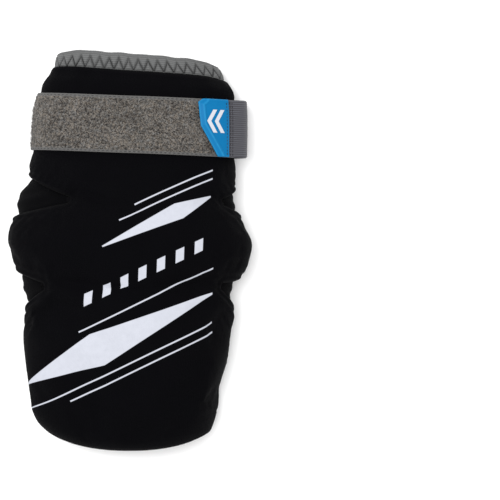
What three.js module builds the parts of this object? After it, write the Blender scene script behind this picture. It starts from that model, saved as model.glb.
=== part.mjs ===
// A lacrosse arm pad: a stretch sleeve with a padded front panel, bound rims and a strap round the upper
// arm. It lies on its back on a flat surface, as it rests by itself, with the padded front up and the sleeve
// open from end to end.
// Millimetres. +Y runs from the wrist end to the upper-arm end, +X to the right as the front is seen, and
// +Z up. The origin is on the surface, under the middle of the pad.

import * as THREE from "three";

// Overall sizes
const PAD_LENGTH = 280; // from hem to upper rim, along the front
const SLEEVE_REACH = 79; // from the middle to the sleeve's side at the elbow
const SLEEVE_HEIGHT = 46; // top of the lying sleeve at the elbow, without the padding
const PAD_THICKNESS = 13; // padding over the point of the elbow

// Walls, gaps and edges
const SLEEVE_WALL = 2.2;
const GAP = 0.35; // between pieces that touch
const PANEL_EDGE = 2.4; // thickness of the padded panel at its stitched edge
const NOTCH_TIP = 4; // how wide the panel's side notches still are at their inner end
const EDGE_ROLL = 9; // width over which the padding swells from its edge
const SIDE_LEVEL = 0.4; // height of the widest line, as a share of a section's height
const SAG = 2.5; // how far the slack back would hang below the surface that it lies on
const CROWN_ROUNDNESS = 2.25; // superellipse exponent of a section's upper half
const BACK_ROUNDNESS = 2.6; // the same for its lower half

// Bound rims
const BINDING_WIDTH = 10;
const BINDING_THICKNESS = 1.4;
const RIM_TO_HEM = 5; // how far the sleeve's lower rim stays back from the panel's hem
const HEM_RISE = 9; // how far the lower rim curves up at the sides
const BACK_RISE = 5; // how much further it curves up on the back
const CORNER_RISE = 3; // how much further it curves up at its two side corners
const BACK_DIP = 5; // how much lower the upper rim is on the back
const CORNER_DROP = 4; // how much lower it is at its two side corners
const RIM_REACH = 40; // length over which the rims' curves fade out
const NOTCH_REACH = 45; // the same for the rows that bend round the notches
const LEAN = 0.032; // how fast the pad's levels drop towards the right side

// Strap
const STRAP_WIDTH = 40;
const STRAP_THICKNESS = 1.9; // loop band and elastic alike
const STRAP_FROM_TOP = 50; // from the upper end to the strap's middle line
const STRAP_STANDOFF = 4.5; // how far the elastic bows clear of the panel on the right side
const STANDOFF_TURN = 6; // where it bows most, degrees above the right side line
const STANDOFF_SPREAD = 38; // degrees to each side of that
const LOOP_UNDER = 27; // length of loop band round the left side, past the side line
const LOOP_END_TURN = 16; // where the loop band ends on the right, degrees above the side line
const HOOK_THICKNESS = 1.2;
const HOOK_INSET = 4; // from the tab's free edges to the hook patch
const HOOK_UNDER_ELASTIC = 8; // how far the hook patch reaches back under the elastic

// Pull tab
const TAB_TURN = 28; // where the tab is sewn to the elastic, degrees above the right side line
const TAB_LENGTH = 22;
const TAB_THICKNESS = 3.2;
const TAB_EDGE = 1.5; // thickness at its bevelled free edge
const TAB_BEVEL = 3.2; // width of that bevel

// Mesh fineness
const ROW_STEP = 11; // longest step between rows along the pad
const FRONT_COLUMNS = 9; // from the crown to a side line
const BACK_COLUMNS = 6; // from a side line to the middle of the back
const EDGE_STEP = 1.9; // degrees between the panel's columns next to its edge
const STRAP_STEP = 7.5; // degrees
const STRAP_ROWS = 4;
const PLATEAU = 16; // how far past a layer's edge the cloth above it stays lifted
const RAMP = 14; // length over which that cloth comes down again

// Sections of the sleeve from hem (-1) to upper rim (1), along in shares of half PAD_LENGTH.
// left and right are its reach in shares of SLEEVE_REACH, height in shares of SLEEVE_HEIGHT, and crown and
// flank the padding over the middle and at the sides in shares of PAD_THICKNESS.
const SECTIONS = [
  { along: -1.0, left: 0.66, right: 0.64, height: 0.63, crown: 0.6, flank: 0.26 },
  { along: -0.9, left: 0.737, right: 0.665, height: 0.69, crown: 0.74, flank: 0.28 },
  { along: -0.757, left: 0.803, right: 0.712, height: 0.76, crown: 0.82, flank: 0.3 },
  { along: -0.6, left: 0.848, right: 0.78, height: 0.83, crown: 0.86, flank: 0.3 },
  { along: -0.429, left: 0.876, right: 0.839, height: 0.88, crown: 0.86, flank: 0.32 },
  { along: -0.3, left: 0.876, right: 0.866, height: 0.91, crown: 0.82, flank: 0.32 },
  { along: -0.186, left: 0.94, right: 0.9, height: 0.945, crown: 0.79, flank: 0.34 },
  { along: -0.064, left: 0.96, right: 0.97, height: 0.985, crown: 0.94, flank: 0.36 },
  { along: 0.036, left: 1.0, right: 1.0, height: 1.0, crown: 1.0, flank: 0.38 },
  { along: 0.15, left: 0.98, right: 0.935, height: 0.975, crown: 0.94, flank: 0.36 },
  { along: 0.257, left: 0.972, right: 0.917, height: 0.925, crown: 0.8, flank: 0.3 },
  { along: 0.371, left: 0.855, right: 0.875, height: 0.87, crown: 0.75, flank: 0.27 },
  { along: 0.514, left: 0.81, right: 0.882, height: 0.825, crown: 0.7, flank: 0.24 },
  { along: 0.657, left: 0.795, right: 0.888, height: 0.79, crown: 0.68, flank: 0.23 },
  { along: 0.771, left: 0.762, right: 0.888, height: 0.76, crown: 0.6, flank: 0.22 },
  { along: 0.843, left: 0.725, right: 0.872, height: 0.725, crown: 0.48, flank: 0.21 },
  { along: 0.914, left: 0.652, right: 0.815, height: 0.68, crown: 0.34, flank: 0.2 },
  { along: 1.0, left: 0.62, right: 0.75, height: 0.65, crown: 0.3, flank: 0.2 },
];

// How far the padded panel wraps round from the crown, in degrees, where 90 is the widest line. Its wrist
// end wraps onto the back.
const PANEL_EDGES = [
  { along: -1.0, left: 152, right: 138 },
  { along: -0.857, left: 156, right: 140 },
  { along: -0.679, left: 157, right: 142 },
  { along: -0.571, left: 148, right: 140 },
  { along: -0.479, left: 134, right: 130 },
  { along: -0.379, left: 112, right: 112 },
  { along: -0.293, left: 102, right: 102 },
  { along: -0.043, left: 106, right: 108 },
  { along: 0.057, left: 112, right: 114 },
  { along: 0.164, left: 105, right: 108 },
  { along: 0.386, left: 105, right: 106 },
  { along: 0.714, left: 107, right: 107 },
  { along: 0.914, left: 102, right: 102 },
];

// The notches above and below the elbow, which leave the stretch sleeve bare. tip is the wrap of the inner
// end, and down and up how far the edges run apart from it at the side, in shares of half PAD_LENGTH.
const NOTCHES = [
  { along: 0.253, side: "left", tip: 30, down: 0.089, up: 0.133 },
  { along: 0.253, side: "right", tip: 60, down: 0.08, up: 0.08 },
  { along: -0.18, side: "left", tip: 50, down: 0.145, up: 0.09 },
  { along: -0.18, side: "right", tip: 60, down: 0.15, up: 0.02 },
];

// The tab's free edge: across in shares of half STRAP_WIDTH, and its reach in shares of TAB_LENGTH.
const TAB_OUTLINE = [
  { across: -1.0, reach: 0.36 },
  { across: -0.5, reach: 0.63 },
  { across: 0.05, reach: 0.93 },
  { across: 0.45, reach: 0.97 },
  { across: 0.88, reach: 1.0 },
  { across: 1.0, reach: 0.84 },
];

// Worked out from the sizes above
const HALF_LENGTH = PAD_LENGTH / 2;
const RIM_RAISE = Math.min(
  ...Array.from({ length: 101 }, (_, k) => CORNER_DROP * (k / 100) ** 8 + LEAN * HALF_LENGTH * (1 - k / 100)),
); // brings the upper rim's highest point up to the full length
const LOWER_RIM = RIM_TO_HEM - HALF_LENGTH;
const UPPER_RIM = HALF_LENGTH - GAP - BINDING_THICKNESS;
const PANEL_TOP = UPPER_RIM - BINDING_WIDTH - GAP;
const STRAP_MIDDLE = HALF_LENGTH - STRAP_FROM_TOP;
const BINDING_BULK = GAP + BINDING_THICKNESS;
const TAB_SEAT = STRAP_THICKNESS + HOOK_THICKNESS + 2 * GAP; // from the panel's gap up to the tab

const radians = (degrees) => (degrees * Math.PI) / 180;
const clamp01 = (value) => Math.min(1, Math.max(0, value));
const mix = (a, b, share) => a + (b - a) * share;
const smooth = (share) => clamp01(share) ** 2 * (3 - 2 * clamp01(share));
const signedPower = (value, power) => Math.sign(value) * Math.abs(value) ** power;
const swell = (share) => Math.sqrt(1 - (1 - clamp01(share)) ** 2);

// A table's column between two of its rows.
function readTable(rows, key, column, at) {
  const last = rows.length - 1;
  const next = at >= rows[last][key] ? last : Math.max(1, rows.findIndex((row) => row[key] > at));
  const share = clamp01((at - rows[next - 1][key]) / (rows[next][key] - rows[next - 1][key]));
  return mix(rows[next - 1][column], rows[next][column], share);
}

// A table's column on a smooth curve through its rows.
function readSmooth(rows, key, column, at) {
  const last = rows.length - 1;
  const x = Math.min(rows[last][key], Math.max(rows[0][key], at));
  let i = 1;
  while (i < last && rows[i][key] < x) i++;
  const slope = (k) => {
    const before = rows[Math.max(0, k - 1)];
    const after = rows[Math.min(last, k + 1)];
    return (after[column] - before[column]) / (after[key] - before[key]);
  };
  const width = rows[i][key] - rows[i - 1][key];
  const t = (x - rows[i - 1][key]) / width;
  const t2 = t * t;
  const t3 = t2 * t;
  return (
    (2 * t3 - 3 * t2 + 1) * rows[i - 1][column] +
    (t3 - 2 * t2 + t) * width * slope(i - 1) +
    (3 * t2 - 2 * t3) * rows[i][column] +
    (t3 - t2) * width * slope(i)
  );
}

// The sleeve's section at a place along the pad.
function sectionAt(y) {
  const column = (name) => readSmooth(SECTIONS, "along", name, y / HALF_LENGTH);
  const height = SLEEVE_HEIGHT * column("height");
  return {
    left: SLEEVE_REACH * column("left"),
    right: SLEEVE_REACH * column("right"),
    side: height * SIDE_LEVEL,
    height,
    crown: PAD_THICKNESS * column("crown"),
    flank: PAD_THICKNESS * column("flank"),
  };
}

// A point of the section's curve moved outwards by offset, before it is flattened on the surface. turn is 0
// at the right side line, a quarter turn at the crown and half a turn at the left side line.
function sectionPoint(turn, y, offset) {
  const { left, right, side, height } = sectionAt(y);
  const across = Math.cos(turn);
  const up = Math.sin(turn);
  const reach = across < 0 ? left : right;
  const rise = up < 0 ? side + SAG : height - side;
  const power = up < 0 ? BACK_ROUNDNESS : CROWN_ROUNDNESS;
  const sx = signedPower(across, 2 / power);
  const sz = signedPower(up, 2 / power);
  const normal = new THREE.Vector2(
    signedPower(sx, power - 1) / reach,
    signedPower(sz, power - 1) / rise,
  ).normalize();
  return new THREE.Vector2(reach * sx + offset * normal.x, side + rise * sz + offset * normal.y);
}

// How far the rims' curves move a point along the pad.
function alongShift(turn, y) {
  const across = Math.cos(turn);
  const up = Math.sin(turn);
  const nearHem = clamp01((RIM_REACH - HALF_LENGTH - y) / RIM_REACH) ** 1.5;
  const nearTop = clamp01((y - HALF_LENGTH + RIM_REACH) / RIM_REACH) ** 1.5;
  const corners = across ** 8;
  const rise = HEM_RISE * (1 - Math.max(0, up) ** 2) + BACK_RISE * Math.max(0, -up) + CORNER_RISE * corners;
  const dip = BACK_DIP * Math.max(0, -up) + CORNER_DROP * corners - RIM_RAISE;
  return rise * nearHem - dip * nearTop - LEAN * Math.max(0, y) * (1 + across);
}

// Where a point of the leaning upper part lies along the unleaned pad.
const unleaned = (turn, along) => along / (1 - LEAN * (1 + Math.cos(turn)));

const panelWrap = (side, y) => radians(readTable(PANEL_EDGES, "along", side, y / HALF_LENGTH));
const turnOf = (side, wrap) => Math.PI / 2 + (side === "left" ? wrap : -wrap);
const sideOf = (turn) => (Math.cos(turn) < 0 ? "left" : "right");
const wrapOf = (turn) => Math.acos(Math.min(1, Math.max(-1, Math.sin(turn))));

// Length along the section from its crown to a wrap angle.
function girthTo(side, wrap, y) {
  const steps = Math.max(1, Math.ceil(wrap / radians(3)));
  let length = 0;
  let last = sectionPoint(Math.PI / 2, y, 0);
  for (let k = 1; k <= steps; k++) {
    const next = sectionPoint(turnOf(side, (wrap * k) / steps), y, 0);
    length += next.distanceTo(last);
    last = next;
  }
  return length;
}

// Rows from one end to the other through the stations, with no step over ROW_STEP.
function rowsBetween(low, high, stations) {
  const inside = stations.filter((y) => y > low && y < high).sort((a, b) => a - b);
  const corners = [low, ...inside, high];
  const rows = [low];
  for (let i = 1; i < corners.length; i++) {
    const steps = Math.ceil((corners[i] - corners[i - 1]) / ROW_STEP);
    for (let k = 1; k <= steps; k++) rows.push(mix(corners[i - 1], corners[i], k / steps));
  }
  return rows;
}

const notchStations = [...new Set(NOTCHES.map((notch) => notch.along * HALF_LENGTH))];

// Rows that the sleeve and the panel share, so that their faces lie parallel.
const commonRows = rowsBetween(LOWER_RIM, PANEL_TOP, [
  LOWER_RIM + BINDING_WIDTH,
  ...notchStations.flatMap((y) => [y - NOTCH_TIP / 2, y + NOTCH_TIP / 2]),
  STRAP_MIDDLE - STRAP_WIDTH / 2,
  STRAP_MIDDLE + STRAP_WIDTH / 2,
]);
const panelRows = [-HALF_LENGTH, EDGE_ROLL * 0.2 - HALF_LENGTH, ...commonRows];
const sleeveRows = [...commonRows, UPPER_RIM - BINDING_WIDTH / 2, UPPER_RIM];

// Columns that they share, as degrees of wrap from the crown.
const evenly = (from, to, steps) => Array.from({ length: steps + 1 }, (_, k) => mix(from, to, k / steps));
const wraps = [...evenly(0, 90, FRONT_COLUMNS), ...evenly(90, 180, BACK_COLUMNS).slice(1)].map(radians);
const fullTurn = [
  ...wraps.slice(0, -1).map((wrap) => turnOf("left", wrap)),
  ...wraps.slice(1).reverse().map((wrap) => turnOf("right", wrap)),
];

// Where a row lies at a turn. Rows part at the notches and close up again over NOTCH_REACH.
const nearestWrap = (wrap) => wraps.reduce((a, b) => (Math.abs(b - wrap) < Math.abs(a - wrap) ? b : a));
const notches = NOTCHES.map(({ along, side, tip, down, up }) => {
  const y = along * HALF_LENGTH;
  const girth = (wrap) => girthTo(side, wrap, y);
  return {
    y,
    side,
    down: down * HALF_LENGTH,
    up: up * HALF_LENGTH,
    tip: nearestWrap(radians(tip)),
    girthAtTip: girth(nearestWrap(radians(tip))),
    girthAtEdge: girth(panelWrap(side, y)),
    girthAtBack: girth(Math.PI),
  };
});

function rowAlong(turn, y) {
  const side = sideOf(turn);
  let moved = y;
  for (const notch of notches.filter((one) => one.side === side)) {
    const girth = girthTo(side, wrapOf(turn), notch.y);
    const opening = clamp01((girth - notch.girthAtTip) / (notch.girthAtEdge - notch.girthAtTip));
    const closing = clamp01((notch.girthAtBack - girth) / (notch.girthAtBack - notch.girthAtEdge));
    const share = Math.min(opening, closing) * clamp01(1 - Math.abs(y - notch.y) / NOTCH_REACH);
    moved += share * (y > notch.y ? notch.up : -notch.down);
  }
  return moved;
}

// The panel's edge and its turn at a row, and its two side edges as lines on the unrolled cloth.
const widest = radians(Math.max(...PANEL_EDGES.flatMap((row) => [row.left, row.right])));
const edgeColumn = wraps.findIndex((wrap) => wrap >= widest);
const edgeWrap = (side, y) => panelWrap(side, rowAlong(turnOf(side, panelWrap(side, y)), y));

const panelOutline = {};
for (const side of ["left", "right"])
  panelOutline[side] = panelRows.flatMap((y) => {
    const onCloth = (wrap) => {
      const along = rowAlong(turnOf(side, wrap), y);
      return new THREE.Vector2(girthTo(side, wrap, along), along);
    };
    const edge = onCloth(edgeWrap(side, y));
    const notch = notches.find((one) => one.side === side && Math.abs(one.y - y) < NOTCH_TIP);
    if (!notch) return [edge];
    return y < notch.y ? [edge, onCloth(notch.tip)] : [onCloth(notch.tip), edge];
  });

function distanceToEdge(side, girth, y) {
  const here = new THREE.Vector3(girth, y, 0);
  const line = new THREE.Line3();
  const nearest = new THREE.Vector3();
  let distance = Infinity;
  const outline = panelOutline[side];
  for (let i = 1; i < outline.length; i++) {
    line.start.set(outline[i - 1].x, outline[i - 1].y, 0);
    line.end.set(outline[i].x, outline[i].y, 0);
    line.closestPointToPoint(here, true, nearest);
    distance = Math.min(distance, nearest.distanceTo(here));
  }
  return distance;
}

// Extra room under the panel where it passes over the lower binding.
function bindingRoom(y) {
  const past = y - (LOWER_RIM + BINDING_WIDTH);
  return BINDING_BULK * smooth(1 - (past - ROW_STEP) / RAMP);
}

const panelSeat = (y) => GAP + bindingRoom(y);

// Thickness of the padded panel. Past its edges this is the edge's own thickness.
function panelThickness(turn, y) {
  const { crown, flank } = sectionAt(y);
  const up = Math.sin(turn);
  const full = up > 0 ? mix(flank, crown, up ** 0.9) : mix(flank, PANEL_EDGE, smooth(-2 * up));
  const side = sideOf(turn);
  if (wrapOf(turn) >= panelWrap(side, y)) return PANEL_EDGE;
  const edge = distanceToEdge(side, girthTo(side, wrapOf(turn), y), y);
  const end = Math.min(y + HALF_LENGTH, PANEL_TOP - y);
  return mix(PANEL_EDGE, Math.max(PANEL_EDGE, full), swell(Math.min(edge, end) / EDGE_ROLL));
}

const panelTop = (turn, y) => panelSeat(y) + panelThickness(turn, y);

// Offset of the strap's inner face, before the elastic's bow.
function strapSeat(turn, y) {
  const side = sideOf(turn);
  const past = girthTo(side, wrapOf(turn), y) - girthTo(side, panelWrap(side, y), y);
  return GAP + panelTop(turn, y) * (1 - smooth((past - PANEL_EDGE) / RAMP));
}

// Full thickness of all that lies outside the sleeve's cloth: strap, panel or binding.
function stackOver(turn, y) {
  if (Math.sin(turn) > 0) return 0;
  const side = sideOf(turn);
  const edge = sectionPoint(turnOf(side, Math.max(Math.PI / 2, panelWrap(side, y))), y, 0);
  const past = Math.abs(edge.x) - Math.abs(sectionPoint(turn, y, 0).x);
  const panel = panelTop(turn, y) * smooth(1 - (past - PLATEAU) / RAMP);
  const fromStrap = Math.abs(y - STRAP_MIDDLE) - STRAP_WIDTH / 2;
  const strap = (strapSeat(turn, y) + STRAP_THICKNESS) * smooth(1 - (fromStrap - ROW_STEP) / RAMP);
  const fromRim = Math.min(y - LOWER_RIM, UPPER_RIM - y) - BINDING_WIDTH;
  const binding = BINDING_BULK * smooth(1 - (fromRim - ROW_STEP) / RAMP);
  return Math.max(panel, strap, binding);
}

// A point at an offset out from the sleeve's cloth, kept above the surface by what lies under it.
function place(turn, y, offset, along = y + alongShift(turn, y)) {
  const { x, y: z } = sectionPoint(turn, y, offset);
  return new THREE.Vector3(x, along, Math.max(z, stackOver(turn, y) - offset, 0));
}

// A closed solid from an inner and an outer grid of points, at depth 0 and 1. Cells that are left open have
// side walls round them, and a piece that goes all the way round closes on its first column.
function wall(rows, columns, point, { closed = false, open = () => false } = {}) {
  const points = [];
  for (const depth of [0, 1])
    for (const row of rows) for (const column of columns) points.push(point(row, column, depth));
  const across = columns.length;
  const spans = closed ? across : across - 1;
  const at = (depth, [i, j]) => (depth * rows.length + i) * across + (j % across);
  const faces = [];
  const quad = (a, b, c, d) => faces.push(a, b, c, a, c, d);
  const kept = ([i, j]) =>
    i >= 0 && i < rows.length - 1 && (closed || (j >= 0 && j < spans && !open(rows[i], columns[j])));
  for (let i = 0; i < rows.length - 1; i++)
    for (let j = 0; j < spans; j++) {
      if (!kept([i, j])) continue;
      const corners = [[i, j], [i + 1, j], [i + 1, j + 1], [i, j + 1]];
      const beside = [[i, j - 1], [i + 1, j], [i, j + 1], [i - 1, j]];
      quad(...corners.map((corner) => at(1, corner)));
      quad(...corners.map((corner) => at(0, corner)).reverse());
      corners.forEach((from, k) => {
        const to = corners[(k + 1) % 4];
        if (!kept(beside[k])) quad(at(1, to), at(1, from), at(0, from), at(0, to));
      });
    }
  const geometry = new THREE.BufferGeometry().setFromPoints(points);
  geometry.setIndex(faces);
  geometry.computeVertexNormals();
  return geometry;
}

function makeSleeve() {
  const point = (y, turn, depth) => place(turn, rowAlong(turn, y), (depth - 1) * SLEEVE_WALL);
  return wall(sleeveRows, fullTurn, point, { closed: true });
}

// The panel's columns run from one side edge over the crown to the other. They are the sleeve's own as far
// as the panel reaches, and the rest gather at its edge.
function panelTurn(column, y) {
  const side = column < 0 ? "right" : "left";
  const edge = edgeWrap(side, y);
  const fromEdge = edgeColumn - Math.abs(column);
  const gathered = edge - fromEdge * Math.min(radians(EDGE_STEP), edge / (edgeColumn + 1));
  return turnOf(side, fromEdge === 0 ? edge : Math.min(gathered, wraps[Math.abs(column)]));
}

// The cells of a notch lie between its two rows, from its tip to the side.
function inNotch(y, column) {
  const side = column < 0 ? "right" : "left";
  const inner = wraps[Math.min(Math.abs(column), Math.abs(column + 1))];
  const here = (notch) => notch.side === side && y < notch.y && y + 2 * NOTCH_TIP > notch.y;
  return notches.some((notch) => here(notch) && inner >= notch.tip);
}

function makePaddedPanel() {
  const point = (y, column, depth) => {
    const turn = panelTurn(column, y);
    const along = rowAlong(turn, y);
    return place(turn, along, panelSeat(along) + depth * panelThickness(turn, along));
  };
  return wall(panelRows, evenly(-edgeColumn, edgeColumn, 2 * edgeColumn), point, { open: inNotch });
}

// A binding is a folded tape over a rim: its section is a channel that opens towards the sleeve.
function makeBinding(rim, outward) {
  const outside = GAP + BINDING_THICKNESS;
  const inside = -SLEEVE_WALL - outside;
  const fold = rim + outward * GAP;
  const crest = rim + outward * outside;
  const leg = rim - outward * BINDING_WIDTH;
  const channel = [
    [outside, leg],
    [outside, rim],
    [mix(outside, inside, 0.3), crest],
    [mix(outside, inside, 0.7), crest],
    [inside, rim],
    [inside, leg],
    [-SLEEVE_WALL - GAP, leg],
    [-SLEEVE_WALL - GAP, fold],
    [GAP, fold],
    [GAP, leg],
  ];
  const ring = outward > 0 ? channel.reverse() : channel;
  const points = [];
  for (const turn of fullTurn) for (const [offset, y] of ring) points.push(place(turn, y, offset));
  const faces = [];
  const at = (i, j) => (i % fullTurn.length) * ring.length + (j % ring.length);
  for (let i = 0; i < fullTurn.length; i++)
    for (let j = 0; j < ring.length; j++)
      faces.push(at(i, j), at(i + 1, j), at(i + 1, j + 1), at(i, j), at(i + 1, j + 1), at(i, j + 1));
  const geometry = new THREE.BufferGeometry().setFromPoints(points);
  geometry.setIndex(faces);
  geometry.computeVertexNormals();
  return geometry;
}

// A point on the strap, across from its middle line.
function placeOnStrap(turn, across, offset) {
  const middle = STRAP_MIDDLE + alongShift(turn, STRAP_MIDDLE);
  const along = middle + across;
  const y = unleaned(turn, along);
  return place(turn, y, offset(turn, y), along);
}

function strapPiece(turns, innerFace) {
  const point = (across, turn, depth) =>
    placeOnStrap(turn, across, (t, y) => innerFace(t, y) + depth * STRAP_THICKNESS);
  return wall(evenly(-STRAP_WIDTH / 2, STRAP_WIDTH / 2, STRAP_ROWS), turns, point);
}

const turnsBetween = (from, to) => evenly(from, to, Math.ceil(Math.abs(to - from) / radians(STRAP_STEP)));

// The turn reached after a length along the strap's middle line, at an offset.
function turnAfter(start, length, offset) {
  const step = Math.sign(length) * radians(0.5);
  let turn = start;
  let left = Math.abs(length);
  while (left > 0) {
    const from = sectionPoint(turn, STRAP_MIDDLE, offset);
    const gone = from.distanceTo(sectionPoint(turn + step, STRAP_MIDDLE, offset));
    turn += step * Math.min(1, left / gone);
    left -= gone;
  }
  return turn;
}

const seamTurn = turnAfter(Math.PI, LOOP_UNDER, GAP + PANEL_EDGE);
const elasticStart = turnAfter(seamTurn, GAP, GAP);
const tabTurn = radians(TAB_TURN);

// The elastic bows clear of the panel at the right side, and lies over the end of the loop band.
function elasticSeat(turn, y) {
  const above = THREE.MathUtils.radToDeg(turn) - 360;
  const bow = Math.cos((Math.PI / 2) * Math.min(1, Math.abs(above - STANDOFF_TURN) / STANDOFF_SPREAD));
  const fade = smooth((TAB_TURN - above) / (TAB_TURN - STANDOFF_TURN));
  const onLoop = smooth((above + STANDOFF_TURN) / (LOOP_END_TURN + STANDOFF_TURN));
  return strapSeat(turn, y) + onLoop * TAB_SEAT + STRAP_STANDOFF * smooth(bow) * fade;
}

const makeLoopBand = () => strapPiece(turnsBetween(radians(LOOP_END_TURN), seamTurn), strapSeat);
const makeElastic = () => strapPiece(turnsBetween(elasticStart, 2 * Math.PI + tabTurn), elasticSeat);

// A piece with the tab's outline, less inset, that starts at a length past the elastic's end.
function tabPiece(start, inset, seat, thickness, shares) {
  const half = STRAP_WIDTH / 2 - inset;
  const outline = TAB_OUTLINE.map((row) => ({
    across: row.across * half,
    reach: row.reach * TAB_LENGTH - inset,
  }));
  const point = (across, share, depth) => {
    const reach = readTable(outline, "across", "reach", across);
    const gone = mix(start, reach, share);
    const turn = turnAfter(tabTurn, gone, TAB_SEAT + PAD_THICKNESS / 2);
    return placeOnStrap(turn, across, (t, y) => strapSeat(t, y) + seat + depth * thickness(reach - gone));
  };
  return wall(outline.map((row) => row.across), shares, point);
}

function makeTab() {
  const bevelled = (toEdge) => mix(TAB_EDGE, TAB_THICKNESS, clamp01(toEdge / TAB_BEVEL));
  return tabPiece(GAP, 0, TAB_SEAT, bevelled, [0, 0.3, 0.6, 1 - TAB_BEVEL / TAB_LENGTH, 1]);
}

const makeHookPatch = () =>
  tabPiece(-HOOK_UNDER_ELASTIC, HOOK_INSET, STRAP_THICKNESS + GAP, () => HOOK_THICKNESS, evenly(0, 1, 5));

const black = { color: 0x101012, roughness: 0.75, metalness: 0 };
const FINISHES = {
  sleeve: { color: 0x0d0d10, roughness: 0.8, metalness: 0 },
  panel: black,
  binding: { color: 0x7d8080, roughness: 0.85, metalness: 0 },
  loop: { color: 0x77726b, roughness: 0.95, metalness: 0 },
  elastic: { color: 0x68676c, roughness: 0.8, metalness: 0 },
  hook: { color: 0x2b2b2d, roughness: 0.7, metalness: 0 },
  rubber: { color: 0x0a7cc0, roughness: 0.45, metalness: 0 },
};

const armPad = new THREE.Group();

function add(name, geometry, finish) {
  const mesh = new THREE.Mesh(geometry, new THREE.MeshStandardMaterial(FINISHES[finish]));
  mesh.name = name;
  armPad.add(mesh);
}

add("sleeve", makeSleeve(), "sleeve");
add("padded_front", makePaddedPanel(), "panel");
add("upper_binding", makeBinding(UPPER_RIM, 1), "binding");
add("lower_binding", makeBinding(LOWER_RIM, -1), "binding");
add("loop_band", makeLoopBand(), "loop");
add("elastic_strap", makeElastic(), "elastic");
add("hook_patch", makeHookPatch(), "hook");
add("pull_tab", makeTab(), "rubber");

export default armPad;
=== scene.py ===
"""A lacrosse arm pad that lies on its back, seen from straight above."""

import math

import bpy
import numpy as np
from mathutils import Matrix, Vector


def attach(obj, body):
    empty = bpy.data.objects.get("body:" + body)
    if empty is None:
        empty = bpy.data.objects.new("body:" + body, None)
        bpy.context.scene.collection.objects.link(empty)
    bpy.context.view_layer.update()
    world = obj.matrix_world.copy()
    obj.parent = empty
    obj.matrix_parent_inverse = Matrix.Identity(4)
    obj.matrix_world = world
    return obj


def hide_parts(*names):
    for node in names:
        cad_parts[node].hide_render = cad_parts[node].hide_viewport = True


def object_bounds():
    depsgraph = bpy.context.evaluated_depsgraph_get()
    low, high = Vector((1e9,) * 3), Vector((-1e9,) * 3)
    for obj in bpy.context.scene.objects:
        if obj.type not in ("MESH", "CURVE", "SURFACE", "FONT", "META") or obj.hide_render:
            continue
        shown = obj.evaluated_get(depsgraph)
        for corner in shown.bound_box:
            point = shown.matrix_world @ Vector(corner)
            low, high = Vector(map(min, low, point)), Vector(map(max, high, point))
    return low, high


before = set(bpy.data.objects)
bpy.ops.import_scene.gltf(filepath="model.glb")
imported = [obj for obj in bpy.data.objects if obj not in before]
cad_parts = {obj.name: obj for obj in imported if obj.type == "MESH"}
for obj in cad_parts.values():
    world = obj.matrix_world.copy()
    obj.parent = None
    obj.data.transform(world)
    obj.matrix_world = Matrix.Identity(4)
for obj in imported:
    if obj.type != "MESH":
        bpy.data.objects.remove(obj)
cad_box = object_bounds()
chance = np.random.default_rng(11)

# Camera and light
PHOTO_SCALE = 0.0007  # metres a pixel at the height of the pad's outline
PHOTO_SIZE = 500
OUTLINE_HEIGHT = 0.02
CAMERA_HEIGHT = 2.6
FRAME_MIDDLE = 0.084  # how far right of the pad's middle the picture's middle lies
SENSOR_WIDTH = 0.036

# The pad's sizes in metres, as its solids have them
HALF_LENGTH = (cad_box[1].y - cad_box[0].y) / 2
SLEEVE_REACH = 0.079
SLEEVE_HEIGHT = 0.046
PAD_THICKNESS = 0.013
SLEEVE_WALL = 0.0022
GAP = 0.00035
PANEL_EDGE = 0.0024
EDGE_ROLL = 0.009
SIDE_LEVEL = 0.4
SAG = 0.0025
CROWN_ROUNDNESS = 2.25
BACK_ROUNDNESS = 2.6
BINDING_WIDTH = 0.010
BINDING_THICKNESS = 0.0014
LOWER_RIM = 0.005 - HALF_LENGTH
UPPER_RIM = HALF_LENGTH - GAP - BINDING_THICKNESS
PANEL_TOP = UPPER_RIM - BINDING_WIDTH - GAP
HEM_RISE = 0.009
BACK_RISE = 0.005
CORNER_RISE = 0.003
BACK_DIP = 0.005
CORNER_DROP = 0.004
RIM_REACH = 0.040
NOTCH_REACH = 0.045
NOTCH_TIP = 0.004
LEAN = 0.032
LEVELS = np.linspace(0, 1, 101)
# How far the upper rim is raised so that it still reaches the pad's end
RIM_RAISE = float((CORNER_DROP * LEVELS**8 + LEAN * HALF_LENGTH * (1 - LEVELS)).min())
PLATEAU = 0.016
RAMP = 0.014
LAYER_MARGIN = 0.011
STRAP_WIDTH = 0.040
STRAP_THICKNESS = 0.0019
STRAP_MIDDLE = HALF_LENGTH - 0.050
STANDOFF = 0.0045
STANDOFF_TURN = 6
STANDOFF_SPREAD = 38
LOOP_UNDER = 0.027
LOOP_END_TURN = 16
HOOK_THICKNESS = 0.0012
TAB_TURN = 28
TAB_LENGTH = 0.022
TAB_THICKNESS = 0.0032
TAB_EDGE = 0.0015
TAB_BEVEL = 0.0032
TAB_SEAT = STRAP_THICKNESS + HOOK_THICKNESS + 2 * GAP

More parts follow.
